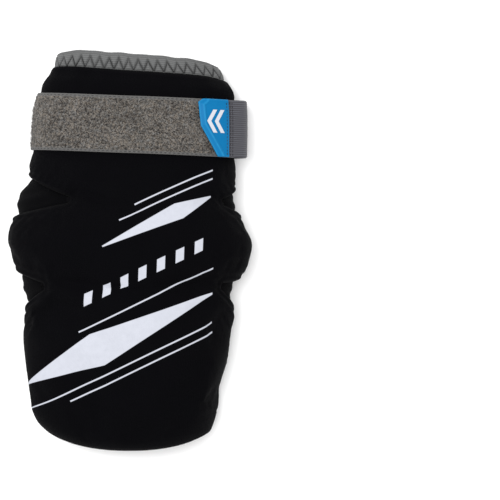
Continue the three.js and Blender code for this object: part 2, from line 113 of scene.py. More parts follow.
# Sections of the sleeve from hem to upper rim, in shares of the sizes above
SECTIONS = {
    "along": [-1.0, -0.9, -0.757, -0.6, -0.429, -0.3, -0.186, -0.064, 0.036, 0.15, 0.257, 0.371, 0.514,
              0.657, 0.771, 0.843, 0.914, 1.0],
    "left": [0.66, 0.737, 0.803, 0.848, 0.876, 0.876, 0.94, 0.96, 1.0, 0.98, 0.972, 0.855, 0.81,
             0.795, 0.762, 0.725, 0.652, 0.62],
    "right": [0.64, 0.665, 0.712, 0.78, 0.839, 0.866, 0.9, 0.97, 1.0, 0.935, 0.917, 0.875, 0.882,
              0.888, 0.888, 0.872, 0.815, 0.75],
    "height": [0.63, 0.69, 0.76, 0.83, 0.88, 0.91, 0.945, 0.985, 1.0, 0.975, 0.925, 0.87, 0.825,
               0.79, 0.76, 0.725, 0.68, 0.65],
    "crown": [0.6, 0.74, 0.82, 0.86, 0.86, 0.82, 0.79, 0.94, 1.0, 0.94, 0.8, 0.75, 0.7,
              0.68, 0.6, 0.48, 0.34, 0.3],
    "flank": [0.26, 0.28, 0.3, 0.3, 0.32, 0.32, 0.34, 0.36, 0.38, 0.36, 0.3, 0.27, 0.24,
              0.23, 0.22, 0.21, 0.2, 0.2],
}

# How far the padded panel wraps round from the crown, in degrees
PANEL_EDGES = {
    "along": [-1.0, -0.857, -0.679, -0.571, -0.479, -0.379, -0.293, -0.043, 0.057, 0.164, 0.386,
              0.714, 0.914],
    "left": [152, 156, 157, 148, 134, 112, 102, 106, 112, 105, 105, 107, 102],
    "right": [138, 140, 142, 140, 130, 112, 102, 108, 114, 108, 106, 107, 102],
}

# The notches: where, on the left side or not, the wrap of the inner end, how far the edges run apart, and
# how far the sleeve swells out between them
NOTCHES = [
    {"along": 0.253, "left": True, "tip": 30, "down": 0.089, "up": 0.133, "swell": 0.0016},
    {"along": 0.253, "left": False, "tip": 60, "down": 0.08, "up": 0.08, "swell": 0.0004},
    {"along": -0.18, "left": True, "tip": 50, "down": 0.145, "up": 0.09, "swell": 0.0004},
    {"along": -0.18, "left": False, "tip": 60, "down": 0.15, "up": 0.02, "swell": 0.0004},
]

# The tab's free edge: across in shares of half the strap's width, and its reach in shares of its length
TAB_OUTLINE = {
    "across": [-1.0, -0.5, 0.05, 0.45, 0.88, 1.0],
    "reach": [0.36, 0.63, 0.93, 0.97, 1.0, 0.84],
}


# Numbers along curves

def clamp01(value):
    return np.clip(value, 0.0, 1.0)


def mix(a, b, share):
    return a + (b - a) * share


def smooth(share):
    return clamp01(share) ** 2 * (3 - 2 * clamp01(share))


def bump(distance, width):
    return np.exp(-((distance / width) ** 2))


def signed_power(value, power):
    return np.sign(value) * np.abs(value) ** power


def sine(at, length):
    return np.sin(at * 2 * math.pi / length)


def read_smooth(table, column, at):
    """A table's column on a smooth curve through its rows."""
    x, v = np.array(table["along"]), np.array(table[column])
    before = np.maximum(np.arange(len(x)) - 1, 0)
    after = np.minimum(np.arange(len(x)) + 1, len(x) - 1)
    slopes = (v[after] - v[before]) / (x[after] - x[before])
    at = np.clip(at, x[0], x[-1])
    i = np.clip(np.searchsorted(x, at), 1, len(x) - 1)
    width = x[i] - x[i - 1]
    t = (at - x[i - 1]) / width
    return (
        (2 * t**3 - 3 * t**2 + 1) * v[i - 1]
        + (t**3 - 2 * t**2 + t) * width * slopes[i - 1]
        + (3 * t**2 - 2 * t**3) * v[i]
        + (t**3 - t**2) * width * slopes[i]
    )


# The form: a place on the pad is a turn round its section, 0 at the right side, a quarter turn at the
# crown and half a turn at the left side, a place along it, and an offset out from the sleeve's cloth

def by_side(turn, left, right):
    return np.where(np.cos(turn) < 0, left, right)


def turn_of(left, wrap):
    return math.pi / 2 + np.where(left, wrap, -wrap)


def wrap_of(turn):
    return np.arccos(np.clip(np.sin(turn), -1, 1))


def section(y):
    shares = {name: read_smooth(SECTIONS, name, y / HALF_LENGTH) for name in SECTIONS if name != "along"}
    height = SLEEVE_HEIGHT * shares["height"]
    return {
        "left": SLEEVE_REACH * shares["left"],
        "right": SLEEVE_REACH * shares["right"],
        "side": height * SIDE_LEVEL,
        "height": height,
        "crown": PAD_THICKNESS * shares["crown"],
        "flank": PAD_THICKNESS * shares["flank"],
    }


def section_point(turn, y, offset):
    one = section(y)
    across, up = np.cos(turn), np.sin(turn)
    reach = np.where(across < 0, one["left"], one["right"])
    rise = np.where(up < 0, one["side"] + SAG, one["height"] - one["side"])
    power = np.where(up < 0, BACK_ROUNDNESS, CROWN_ROUNDNESS)
    sx, sz = signed_power(across, 2 / power), signed_power(up, 2 / power)
    nx, nz = signed_power(sx, power - 1) / reach, signed_power(sz, power - 1) / rise
    length = np.hypot(nx, nz)
    return reach * sx + offset * nx / length, one["side"] + rise * sz + offset * nz / length


def along_shift(turn, y):
    """How far the rims' curves move a point along the pad."""
    across, up = np.cos(turn), np.sin(turn)
    near_hem = clamp01((RIM_REACH - HALF_LENGTH - y) / RIM_REACH) ** 1.5
    near_top = clamp01((y - HALF_LENGTH + RIM_REACH) / RIM_REACH) ** 1.5
    below, corners = np.maximum(0, -up), across**8
    rise = HEM_RISE * (1 - np.maximum(0, up) ** 2) + BACK_RISE * below + CORNER_RISE * corners
    dip = BACK_DIP * below + CORNER_DROP * corners - RIM_RAISE
    return rise * near_hem - dip * near_top - LEAN * np.maximum(0, y) * (1 + across)


def unleaned(turn, along):
    return along / (1 - LEAN * (1 + np.cos(turn)))


def panel_wrap(turn, y):
    share = y / HALF_LENGTH
    sides = [np.interp(share, PANEL_EDGES["along"], PANEL_EDGES[side]) for side in ("left", "right")]
    return np.radians(by_side(turn, *sides))


# Lengths on the unrolled cloth from the crown, worked out once on a fine grid of wraps and places
WRAPS = np.linspace(0, math.pi, 181)
PLACES = np.linspace(-HALF_LENGTH, HALF_LENGTH, 141)


def girths_of(left):
    x, z = section_point(turn_of(left, WRAPS)[:, None], PLACES[None, :], 0)
    steps = np.hypot(np.diff(x, axis=0), np.diff(z, axis=0))
    return np.vstack([np.zeros(len(PLACES)), np.cumsum(steps, axis=0)])


GIRTHS = {left: girths_of(left) for left in (True, False)}


def girth(turn, y):
    """Length along the section from its crown to a turn."""
    wrap, y = np.broadcast_arrays(wrap_of(turn), y)
    i = np.clip(wrap / WRAPS[1], 0, len(WRAPS) - 1.001)
    j = np.clip((y - PLACES[0]) / (PLACES[1] - PLACES[0]), 0, len(PLACES) - 1.001)
    i0, j0 = i.astype(int), j.astype(int)
    sides = []
    for table in (GIRTHS[True], GIRTHS[False]):
        low = mix(table[i0, j0], table[i0 + 1, j0], i - i0)
        high = mix(table[i0, j0 + 1], table[i0 + 1, j0 + 1], i - i0)
        sides.append(mix(low, high, j - j0))
    return by_side(turn, *sides)


def turn_at_girth(left, length, y):
    """The turn at each length from the crown, at one place along the pad."""
    table = [np.interp(y, PLACES, row) for row in GIRTHS[left]]
    return turn_of(left, np.interp(length, table, WRAPS))


def notch_marks(notch):
    y, left = notch["along"] * HALF_LENGTH, notch["left"]
    edge = panel_wrap(turn_of(left, 1.0), y)
    return {
        "y": y,
        "left": left,
        "tip": math.radians(notch["tip"]),
        "down": notch["down"] * HALF_LENGTH,
        "up": notch["up"] * HALF_LENGTH,
        "swell": notch["swell"],
        "at_tip": girth(turn_of(left, math.radians(notch["tip"])), y),
        "at_edge": girth(turn_of(left, edge), y),
        "at_back": girth(turn_of(left, math.pi), y),
    }


NOTCH_MARKS = [notch_marks(notch) for notch in NOTCHES]


def on_notch_side(turn, notch):
    return by_side(turn, notch["left"], not notch["left"])


def row_along(turn, y):
    """Where a row lies at a turn: rows part at the notches and close up again."""
    moved = y
    for notch in NOTCH_MARKS:
        here = girth(turn, notch["y"])
        opening = clamp01((here - notch["at_tip"]) / (notch["at_edge"] - notch["at_tip"]))
        closing = clamp01((notch["at_back"] - here) / (notch["at_back"] - notch["at_edge"]))
        near = clamp01(1 - np.abs(y - notch["y"]) / NOTCH_REACH) * on_notch_side(turn, notch)
        apart = np.where(y > notch["y"], notch["up"], -notch["down"])
        moved = moved + np.minimum(opening, closing) * near * apart
    return moved


ROW_STEP = 0.0024  # from row to row of the panel and the sleeve
PANEL_FINE_STEP = 0.001  # the same for the panel next to a fine place
SLEEVE_FINE_STEP = 0.0014
EDGE_STEP = 0.005  # between samples of the panel's edges
FINE_REACH = 0.010  # length over which rows go from fine to wide


def rows_between(low, high, step, fine_step, fine_at):
    """Rows from one end to the other, finer near the given places and passing through them."""
    corners = [low, *sorted(y for y in fine_at if low < y < high), high]
    rows = [low]
    for start, end in zip(corners[:-1], corners[1:]):
        at = np.linspace(start, end, 200)
        near = np.min([np.abs(at - corner) for corner in corners], axis=0)
        steps = 1 / mix(fine_step, step, smooth(near / FINE_REACH))
        count = np.concatenate([[0], np.cumsum((steps[1:] + steps[:-1]) / 2 * np.diff(at))])
        rows.extend(np.interp(np.linspace(0, count[-1], max(1, round(count[-1])) + 1)[1:], count, at))
    return np.array(rows)


NOTCH_ROWS = sorted({round(n["y"] + side * NOTCH_TIP / 2, 6) for n in NOTCH_MARKS for side in (-1, 1)})
PANEL_ROWS = rows_between(-HALF_LENGTH, PANEL_TOP, ROW_STEP, PANEL_FINE_STEP, NOTCH_ROWS)
EDGE_SAMPLES = rows_between(-HALF_LENGTH, PANEL_TOP, EDGE_STEP, EDGE_STEP, NOTCH_ROWS)


def edge_wrap(left, y):
    return panel_wrap(turn_of(left, 1.0), row_along(turn_of(left, panel_wrap(turn_of(left, 1.0), y)), y))


def panel_outline(left):
    """The panel's side edge as a line on the unrolled cloth."""
    line = []
    for y in EDGE_SAMPLES:
        wraps = [float(edge_wrap(left, y))]
        for notch in NOTCH_MARKS:
            if notch["left"] == left and abs(y - notch["y"]) < NOTCH_TIP:
                wraps = wraps + [notch["tip"]] if y < notch["y"] else [notch["tip"]] + wraps
        for wrap in wraps:
            along = float(row_along(turn_of(left, wrap), y))
            line.append((float(girth(turn_of(left, wrap), along)), along))
    return np.array(line)


OUTLINES = {left: panel_outline(left) for left in (True, False)}


def distance_to_line(u, v, line):
    """Distance of points on the unrolled cloth to a line of points."""
    nearest = np.full(np.shape(u), 1.0)
    for (u0, v0), (u1, v1) in zip(line[:-1], line[1:]):
        length = (u1 - u0) ** 2 + (v1 - v0) ** 2 + 1e-12
        share = clamp01(((u - u0) * (u1 - u0) + (v - v0) * (v1 - v0)) / length)
        nearest = np.minimum(nearest, np.hypot(u - mix(u0, u1, share), v - mix(v0, v1, share)))
    return nearest


def edge_distance(turn, y):
    """Distance from the panel's nearest side edge, over the panel."""
    here = girth(turn, y)
    return by_side(turn, *(distance_to_line(here, y, OUTLINES[left]) for left in (True, False)))


def binding_room(y):
    return (GAP + BINDING_THICKNESS) * smooth(1 - (y - LOWER_RIM - BINDING_WIDTH - LAYER_MARGIN) / RAMP)


def panel_seat(y):
    return GAP + binding_room(y)


def panel_thickness(turn, y):
    one = section(y)
    up = np.sin(turn)
    full = np.where(
        up > 0,
        mix(one["flank"], one["crown"], np.maximum(up, 0) ** 0.9),
        mix(one["flank"], PANEL_EDGE, smooth(-2 * up)),
    )
    inside = wrap_of(turn) < panel_wrap(turn, y)
    edge = np.minimum(edge_distance(turn, y), np.minimum(y + HALF_LENGTH, PANEL_TOP - y))
    swell = np.sqrt(1 - (1 - clamp01(edge / EDGE_ROLL)) ** 2)
    return np.where(inside, mix(PANEL_EDGE, np.maximum(PANEL_EDGE, full), swell), PANEL_EDGE)


def panel_top(turn, y):
    return panel_seat(y) + panel_thickness(turn, y)


def strap_seat(turn, y):
    side = np.cos(turn) < 0
    past = girth(turn, y) - girth(turn_of(side, panel_wrap(turn, y)), y)
    return GAP + panel_top(turn, y) * (1 - smooth((past - PANEL_EDGE) / RAMP))


def stack_over(turn, y):
    """Full thickness of all that lies under the sleeve's cloth on the back."""
    side = np.cos(turn) < 0
    edge_x = section_point(turn_of(side, np.maximum(math.pi / 2, panel_wrap(turn, y))), y, 0)[0]
    past = np.abs(edge_x) - np.abs(section_point(turn, y, 0)[0])
    panel = panel_top(turn, y) * smooth(1 - (past - PLATEAU) / RAMP)
    from_strap = np.abs(y - STRAP_MIDDLE) - STRAP_WIDTH / 2
    strap = (strap_seat(turn, y) + STRAP_THICKNESS) * smooth(1 - (from_strap - LAYER_MARGIN) / RAMP)
    from_rim = np.minimum(y - LOWER_RIM, UPPER_RIM - y) - BINDING_WIDTH
    binding = (GAP + BINDING_THICKNESS) * smooth(1 - (from_rim - LAYER_MARGIN) / RAMP)
    stack = np.maximum(panel, np.maximum(strap, binding))
    return np.where(np.sin(turn) > 0, 0, stack)


def place(turn, y, offset, along=None):
    """Points at an offset out from the sleeve's cloth, kept above the floor by what lies under them."""
    turn, y, offset = np.broadcast_arrays(turn, y, offset)
    along = y + along_shift(turn, y) if along is None else np.broadcast_to(along, turn.shape)
    x, z = section_point(turn, y, offset)
    return np.stack([x, along, np.maximum(z, np.maximum(stack_over(turn, y) - offset, 0))], axis=-1)


def place_on_strap(turn, across, seat, height):
    """Points on the strap, across from its middle line and at a height over its seat."""
    along = STRAP_MIDDLE + along_shift(turn, STRAP_MIDDLE) + across
    y = unleaned(turn, along)
    return place(turn, y, seat(turn, y) + height, along)


# Meshes

def carried(name, mesh, material):
    """A piece of this mesh and material, which rides on the pad."""
    mesh.materials.append(material)
    piece = bpy.data.objects.new(name, mesh)
    bpy.context.scene.collection.objects.link(piece)
    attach(piece, "root")
    return piece


def make_piece(name, points, faces, material, marks=None, smooth_faces=True):
    """A piece with marks: values at its points that its material reads."""
    mesh = bpy.data.meshes.new(name)
    mesh.from_pydata(points.tolist(), [], faces.tolist())
    mesh.validate()
    if smooth_faces:
        mesh.polygons.foreach_set("use_smooth", [True] * len(mesh.polygons))
    for mark, values in (marks or {}).items():
        kind = "FLOAT_VECTOR" if values.ndim == 2 else "FLOAT"
        field = "vector" if values.ndim == 2 else "value"
        mesh.attributes.new(mark, kind, "POINT").data.foreach_set(field, values.astype(np.float32).ravel())
    return carried(name, mesh, material)


def shell(outer, inner, closed=False, kept=None):
    """Points and faces of a closed wall between two grids, with side walls round the cells left out."""
    rows, columns = outer.shape[:2]
    index = np.arange(2 * rows * columns).reshape(2, rows, columns)
    if closed:
        index = np.concatenate([index, index[:, :, :1]], axis=2)
    spans = index.shape[2] - 1
    kept = np.ones((rows - 1, spans), bool) if kept is None else kept
    quads = np.stack([index[:, :-1, :-1], index[:, 1:, :-1], index[:, 1:, 1:], index[:, :-1, 1:]], axis=-1)
    faces = [quads[0][kept], quads[1][kept][:, ::-1]]
    border = np.pad(kept, 1)
    if closed:
        border[:, 0], border[:, -1] = border[:, -2], border[:, 1]
    beside = [border[1:-1, :-2], border[2:, 1:-1], border[1:-1, 2:], border[:-2, 1:-1]]
    for k in range(4):
        bare = kept & ~beside[k]
        near, far = quads[0][bare], quads[1][bare]
        faces.append(np.stack([near[:, (k + 1) % 4], near[:, k], far[:, k], far[:, (k + 1) % 4]], axis=-1))
    points = np.concatenate([outer.reshape(-1, 3), inner.reshape(-1, 3)])
    return points, np.concatenate(faces)


def drop_unused_points(piece):
    used = np.zeros(len(piece.data.vertices), bool)
    corners = np.zeros(len(piece.data.loops), np.int32)
    piece.data.loops.foreach_get("vertex_index", corners)
    used[corners] = True
    if not used.all():
        bpy.context.view_layer.objects.active = piece
        piece.select_set(True)
        bpy.ops.object.mode_set(mode="EDIT")
        bpy.ops.mesh.select_all(action="SELECT")
        bpy.ops.mesh.delete_loose()
        bpy.ops.object.mode_set(mode="OBJECT")
        piece.select_set(False)


def normals_of(grid):
    """Unit normals of a grid of points, out of its outer face."""
    normal = np.cross(np.gradient(grid, axis=0), np.gradient(grid, axis=1))
    return normal / np.maximum(np.linalg.norm(normal, axis=-1, keepdims=True), 1e-12)


def ripple(u, v, waves, seed):
    """Soft uneven swells of about one unit: a few crossed waves of the given lengths."""
    drawn = np.random.default_rng(seed)
    total = 0
    for length in waves:
        angle, phase = drawn.uniform(0, 2 * math.pi, 2)
        total = total + np.sin((u * math.cos(angle) + v * math.sin(angle)) * 2 * math.pi / length + phase)
    return total / len(waves)


THREAD_TAPER = 0.35  # how thick a thread still is at its ends


def tubes(paths, radius, sides):
    """Points and faces of round threads along many paths of equally many points, with narrowed ends."""
    paths = np.asarray(paths)
    count, steps = paths.shape[:2]
    ahead = np.gradient(paths, axis=1)
    ahead /= np.maximum(np.linalg.norm(ahead, axis=-1, keepdims=True), 1e-12)
    helper = np.where(np.abs(ahead[..., 2:]) > 0.9, [1.0, 0.0, 0.0], [0.0, 0.0, 1.0])
    first = np.cross(ahead, helper)
    first /= np.linalg.norm(first, axis=-1, keepdims=True)
    second = np.cross(ahead, first)
    width = np.ones(steps)
    width[0] = width[-1] = THREAD_TAPER
    angles = np.arange(sides) * 2 * math.pi / sides
    ring = first[:, :, None] * np.cos(angles)[:, None] + second[:, :, None] * np.sin(angles)[:, None]
    points = paths[:, :, None] + ring * (radius * width[:, None, None])
    base = (np.arange(count) * steps * sides)[:, None, None]
    corner = base + (np.arange(steps - 1) * sides)[None, :, None]
    side = np.arange(sides)[None, None, :]
    near, beside = corner + side, corner + (side + 1) % sides
    quads = np.stack([near, beside, beside + sides, near + sides], axis=-1)
    start = (base[:, 0] + np.arange(sides)[::-1]).tolist()
    end = (base[:, 0] + (steps - 1) * sides + np.arange(sides)).tolist()
    return points.reshape(-1, 3), quads.reshape(-1, 4).tolist() + start + end


def make_threads(name, paths, radius, material, shades, sides=6):
    """Threads along many paths, each with a shade of its own from 0 to 1."""
    points, faces = tubes(paths, radius, sides)
    mesh = bpy.data.meshes.new(name)
    mesh.from_pydata(points.tolist(), [], faces)
    mesh.polygons.foreach_set("use_smooth", [True] * len(mesh.polygons))
    each = np.repeat(shades, len(points) // len(shades)).astype(np.float32)
    mesh.attributes.new("shade", "FLOAT", "POINT").data.foreach_set("value", each)
    carried(name, mesh, material)


def spaced(line, step):
    """Points at equal steps along a line of points, about step apart."""
    lengths = np.concatenate([[0], np.cumsum(np.linalg.norm(np.diff(line, axis=0), axis=1))])
    at = np.linspace(0, lengths[-1], max(2, round(lengths[-1] / step) + 1))
    return np.stack([np.interp(at, lengths, line[:, k]) for k in range(line.shape[1])], axis=1)


def dashes(line, pitch, share, steps=4):
    """Stitches along a line: one short path for each pitch, as long as share of it."""
    marks = spaced(line, pitch)
    starts, ends = marks[:-1], mix(marks[:-1], marks[1:], share)
    return np.stack([mix(starts, ends, k / (steps - 1)) for k in range(steps)], axis=1)


def make_stitches(name, line, pitch, share, radius):
    """A row of dark stitches along a line."""
    paths = dashes(line, pitch, share)
    shades = chance.uniform(0, 1, len(paths))
    make_threads(name, paths, radius, DARK_THREAD, shades)


# Materials

class Signal:
    """A node's output, which can be used as a number in an expression."""

    def __init__(self, dye, socket):
        self.dye = dye
        self.socket = socket

    def maths(self, operation, *values):
        return self.dye.node("Math", {"operation": operation}, dict(enumerate(values)))

    def __add__(self, other):
        return self.maths("ADD", self, other)

    __radd__ = __add__

    def __sub__(self, other):
        return self.maths("SUBTRACT", self, other)

    def __rsub__(self, other):
        return self.maths("SUBTRACT", other, self)

    def __mul__(self, other):
        return self.maths("MULTIPLY", self, other)

    __rmul__ = __mul__

    def __truediv__(self, other):
        return self.maths("DIVIDE", self, other)

    def __mod__(self, other):
        return self.maths("FLOORED_MODULO", self, other)

    def __gt__(self, other):
        return self.maths("GREATER_THAN", self, other)

    def __lt__(self, other):
        return self.maths("LESS_THAN", self, other)

    def __abs__(self):
        return self.maths("ABSOLUTE", self)

    def wave(self, length):
        """A sine of this length along the value."""
        return self.maths("SINE", self * (2 * math.pi / length))

    def least(self, other):
        return self.maths("MINIMUM", self, other)

    def most(self, other):
        return self.maths("MAXIMUM", self, other)

    def clamped(self):
        return self.least(1.0).most(0.0)


class Dye:
    """A material's nodes round one shader."""

    def __init__(self, name, **finish):
        self.material = bpy.data.materials.new(name)
        self.material.use_nodes = True
        self.tree = self.material.node_tree
        self.shader = self.tree.nodes["Principled BSDF"]
        for socket, value in finish.items():
            self.shader.inputs[socket.replace("_", " ")].default_value = value

    def node(self, kind, settings=None, inputs=None, output=0):
        """One node: its settings first, then the values or links of its sockets."""
        made = self.tree.nodes.new("ShaderNode" + kind)
        for name, value in (settings or {}).items():
            setattr(made, name, value)
        for name, value in (inputs or {}).items():
            self.set(made.inputs[name], value)
        return Signal(self, made.outputs[output])

    def set(self, socket, value):
        if isinstance(value, Signal):
            self.tree.links.new(value.socket, socket)
        else:
            socket.default_value = value

    def feed(self, **sockets):
        for name, value in sockets.items():
            self.set(self.shader.inputs[name.replace("_", " ")], value)

    def mark(self, name, output="Fac"):
        return self.node("Attribute", {"attribute_name": name}, output=output)

    def parts(self, vector):
        """The three numbers of a vector."""
        split = self.node("SeparateXYZ", inputs={0: vector}).socket.node
        return [Signal(self, output) for output in split.outputs]

    def place(self):
        return self.node("TexCoord", output="Object")

    def grain(self, vector, size, detail=3.0, rough=0.55):
        """Noise with features of about this size, from 0 to 1."""
        finish = {"Vector": vector, "Scale": 1 / size, "Detail": detail, "Roughness": rough}
        return self.node("TexNoise", inputs=finish)

    def between(self, share, low, high):
        """A colour between two colours."""
        colours = [(*c, 1) if isinstance(c, tuple) else c for c in (low, high)]
        return self.node("Mix", {"data_type": "RGBA"}, {0: share, 6: colours[0], 7: colours[1]}, output=2)

    def raised(self, height, strength):
        """A bump from a height in metres."""
        return self.node("Bump", inputs={"Height": height, "Strength": strength, "Distance": 1.0})


PANEL_LOOP = 0.0011  # width of a knit loop of the panel's cloth
PANEL_LOOP_HEIGHT = 0.00008
SLEEVE_LOOP = 0.0016
SLEEVE_LOOP_HEIGHT = 0.00012
PRINT_HEIGHT = 0.00012
WORN_EDGE = 0.003  # width of the paler strip along the panel's edge
SELVEDGE_PICK = 0.0009  # from thread to thread along the loop band's selvedge
PILE_HALF = 0.0178  # from the loop band's middle to its selvedge
PILE_HEIGHT = 0.0007
BINDING_RIB = 0.0014  # from rib to rib across the tape
ELASTIC_RIB = 0.00145


def knit_height(u, v, size, depth):
    """Rows of small V-shaped knit loops."""
    lean = abs((u / size) % 1.0 - 0.5) * 2 * size * 0.7
    return (u.wave(size) * 0.5 + (v + lean).wave(size * 0.8)) * depth


PRINT_BLUR = 0.00025  # how soft the print's edges are
PRINT_INSET = 0.0012  # from the panel's edge
PRINT_RIGHT = 0.055  # from the crown, so that the notches stay clear
PRINT_SLOPE = math.radians(27)
# Stripes: across the print's direction, from, widest at, to, and the width there and at both ends
STRIPES = [
    (-0.052, -0.104, -0.050, 0.036, 0.0235, 0.0012),
    (-0.070, -0.110, 0.000, 0.062, 0.0013, 0.0013),
    (-0.076, -0.082, 0.000, 0.052, 0.0013, 0.0013),
    (-0.036, -0.056, 0.000, 0.082, 0.0013, 0.0013),
    (0.010, -0.014, 0.042, 0.067, 0.0120, 0.0012),
    (0.0215, 0.004, 0.040, 0.086, 0.0013, 0.0013),
    (0.0270, 0.018, 0.040, 0.084, 0.0013, 0.0013),
]
TICK_ROW = -0.018  # across the print's direction
TICK_FROM = -0.046
TICK_TO = 0.0485
TICK_PITCH = 0.0135
TICK_WIDTH = 0.0062
TICK_HEIGHT = 0.008
TICK_LEAN = 0.55


def stripe(along, across, middle, start, widest, end, width, width_at_ends):
    """A straight stripe that tapers from its widest place to both ends, from 0 to 1."""
    rising = ((along - start) / (widest - start)).clamped()
    falling = ((end - along) / (end - widest)).clamped()
    half = (rising * falling * (width - width_at_ends) + width_at_ends) * 0.5
    inside = ((half - abs(across - middle)) / PRINT_BLUR).clamped()
    return inside * ((along - start) / PRINT_BLUR).clamped() * ((end - along) / PRINT_BLUR).clamped()


def panel_print(u, v, edge):
    """White stripes and a row of slanted ticks across the unrolled front, as a mask."""
    along = u * math.cos(PRINT_SLOPE) + v * math.sin(PRINT_SLOPE)
    across = v * math.cos(PRINT_SLOPE) - u * math.sin(PRINT_SLOPE)
    mask = stripe(along, across, *STRIPES[0])
    for one in STRIPES[1:]:
        mask = mask.most(stripe(along, across, *one))
    off = across - TICK_ROW
    slanted = along - off * TICK_LEAN
    nearest = abs((slanted - TICK_FROM) % TICK_PITCH - TICK_PITCH / 2)
    tick = ((TICK_WIDTH / 2 - nearest) / PRINT_BLUR).clamped()
    tick = tick * ((TICK_HEIGHT / 2 - abs(off)) / PRINT_BLUR).clamped()
    tick = tick * (slanted > TICK_FROM) * (slanted < TICK_TO)
    kept_clear = ((PRINT_RIGHT - u) / PRINT_BLUR).clamped() * (edge > PRINT_INSET)
    return mask.most(tick) * kept_clear


def panel_cloth():
    """Smooth black knit over foam with a white rubbery print."""
    dye = Dye("panel_cloth", Sheen_Weight=0.008, Sheen_Roughness=0.4, Specular_IOR_Level=0.02)
    u, v, edge = dye.parts(dye.mark("cloth", "Vector"))
    printed = panel_print(u, v, edge)
    speckle = dye.grain(dye.place(), 0.0009)
    cloudy = dye.grain(dye.place(), 0.03)
    black = dye.between(speckle * 0.6 + cloudy * 0.4, (0.0007, 0.0007, 0.001), (0.0023, 0.0022, 0.003))
    worn = dye.between((1 - edge / WORN_EDGE).clamped() * 0.4, black, (0.006, 0.0058, 0.0064))
    ink = dye.between(dye.grain(dye.place(), 0.004), (0.375, 0.387, 0.432), (0.44, 0.453, 0.502))
    loops = knit_height(u, v, PANEL_LOOP, PANEL_LOOP_HEIGHT)
    dye.feed(
        Base_Color=dye.between(printed, worn, ink),
        Roughness=printed * -0.18 + 0.72 + speckle * 0.08,
        Normal=dye.raised(loops * (1 - printed * 0.75) + printed * PRINT_HEIGHT, 0.8),
    )
    return dye.material


def sleeve_cloth():
    """Matt black stretch knit."""
    dye = Dye("sleeve_cloth", Sheen_Weight=0.01, Sheen_Roughness=0.5, Specular_IOR_Level=0.02)
    u, v, _ = dye.parts(dye.mark("cloth", "Vector"))
    speckle = dye.grain(dye.place(), 0.0007)
    cloudy = dye.grain(dye.place(), 0.02)
    black = dye.between(speckle * 0.5 + cloudy * 0.5, (0.001, 0.001, 0.0012), (0.0032, 0.0031, 0.0038))
    dye.feed(
        Base_Color=black,
        Roughness=speckle * 0.15 + 0.75,
        Normal=dye.raised(knit_height(u, v, SLEEVE_LOOP, SLEEVE_LOOP_HEIGHT), 0.9),
    )
    return dye.material


def tape_cloth(name, dark, light, rib, depth):
    """Woven elastic with ribs along its length, with painted shade where thread pulls it down into grooves
    and pits.
    """
    dye = Dye(name, Sheen_Weight=0.03)
    u, v, painted_groove_shade = dye.parts(dye.mark("cloth", "Vector"))
    fibres = dye.grain(dye.place(), 0.0006, 4.0, 0.7)
    cloudy = dye.grain(dye.place(), 0.008)
    ribs = v.wave(rib) * 0.5 + 0.5
    picks = u.wave(rib * 0.6) * 0.5 + 0.5
    tone = fibres * 0.3 + cloudy * 0.15 + ribs * 0.55
    cloth = dye.between(tone, dark, light)
    # The base colour is darkened by painted shade in the binding's zigzag grooves and needle pits; on the
    # elastic that mark is zero.
    dye.feed(
        Base_Color=dye.between(painted_groove_shade, cloth, dark),
        Roughness=fibres * 0.2 + 0.62,
        Normal=dye.raised((ribs + ribs * picks * 0.5 + fibres * 0.4) * depth, 0.9),
    )
    return dye.material


def pile_cloth():
    """The ground of the loop band: mottled taupe-grey, smooth at its selvedges."""
    dye = Dye("pile_cloth", Sheen_Weight=0.08, Sheen_Roughness=0.6, Specular_IOR_Level=0.1)
    u, v, _ = dye.parts(dye.mark("cloth", "Vector"))
    fine = dye.grain(dye.place(), 0.0008, 5.0, 0.75)
    coarse = dye.grain(dye.place(), 0.0016, 4.0, 0.7)
    patches = dye.grain(dye.place(), 0.012, 2.0)
    selvedge = ((abs(v) - PILE_HALF) / 0.0004).clamped()
    tone = ((fine * 0.4 + coarse * 0.5 + patches * 0.1 - 0.5) * 6.5 + 0.45).clamped()
    tint = ((dye.grain(dye.place(), 0.0019, 2.0) - 0.5) * 3 + 0.5).clamped()
    warm = dye.between(tone, (0.014, 0.011, 0.009), (0.175, 0.150, 0.124))
    cool = dye.between(tone, (0.012, 0.012, 0.012), (0.15, 0.147, 0.142))
    pile = dye.between(tint, warm, cool)
    picks = u.wave(SELVEDGE_PICK)
    woven = dye.between(picks * 0.25 + fine * 0.5 + 0.12, (0.06, 0.058, 0.056), (0.13, 0.128, 0.126))
    dye.feed(
        Base_Color=dye.between(selvedge, pile, woven),
        Roughness=0.92,
        Normal=dye.raised(fine * (1 - selvedge) * PILE_HEIGHT + picks * selvedge * 0.00008, 0.9),
    )
    return dye.material


def yarn(name, dark, light, roughness=0.7, **finish):
    """Thread or fibre, each strand of its own shade."""
    dye = Dye(name, Roughness=roughness, Specular_IOR_Level=0.2, **finish)
    dye.feed(Base_Color=dye.between(dye.mark("shade"), dark, light))
    return dye.material


def tab_rubber():
    """Satin blue rubber with a fine moulded grain and scuffed edges."""
    dye = Dye("tab_rubber", Specular_IOR_Level=0.1)
    grain = dye.grain(dye.place(), 0.0004)
    scuffs = dye.grain(dye.place(), 0.0022, 5.0, 0.7)
    worn = dye.mark("shade")
    blue = dye.between(grain * 0.4 + scuffs * 0.3, (0.0, 0.105, 0.262), (0.0, 0.14, 0.325))
    dye.feed(
        Base_Color=dye.between((worn * scuffs * 0.8).clamped(), blue, (0.02, 0.22, 0.42)),
        Roughness=scuffs * 0.25 + 0.4,
        Normal=dye.raised(grain * 0.00004 + scuffs * 0.00005, 0.7),
    )
    return dye.material


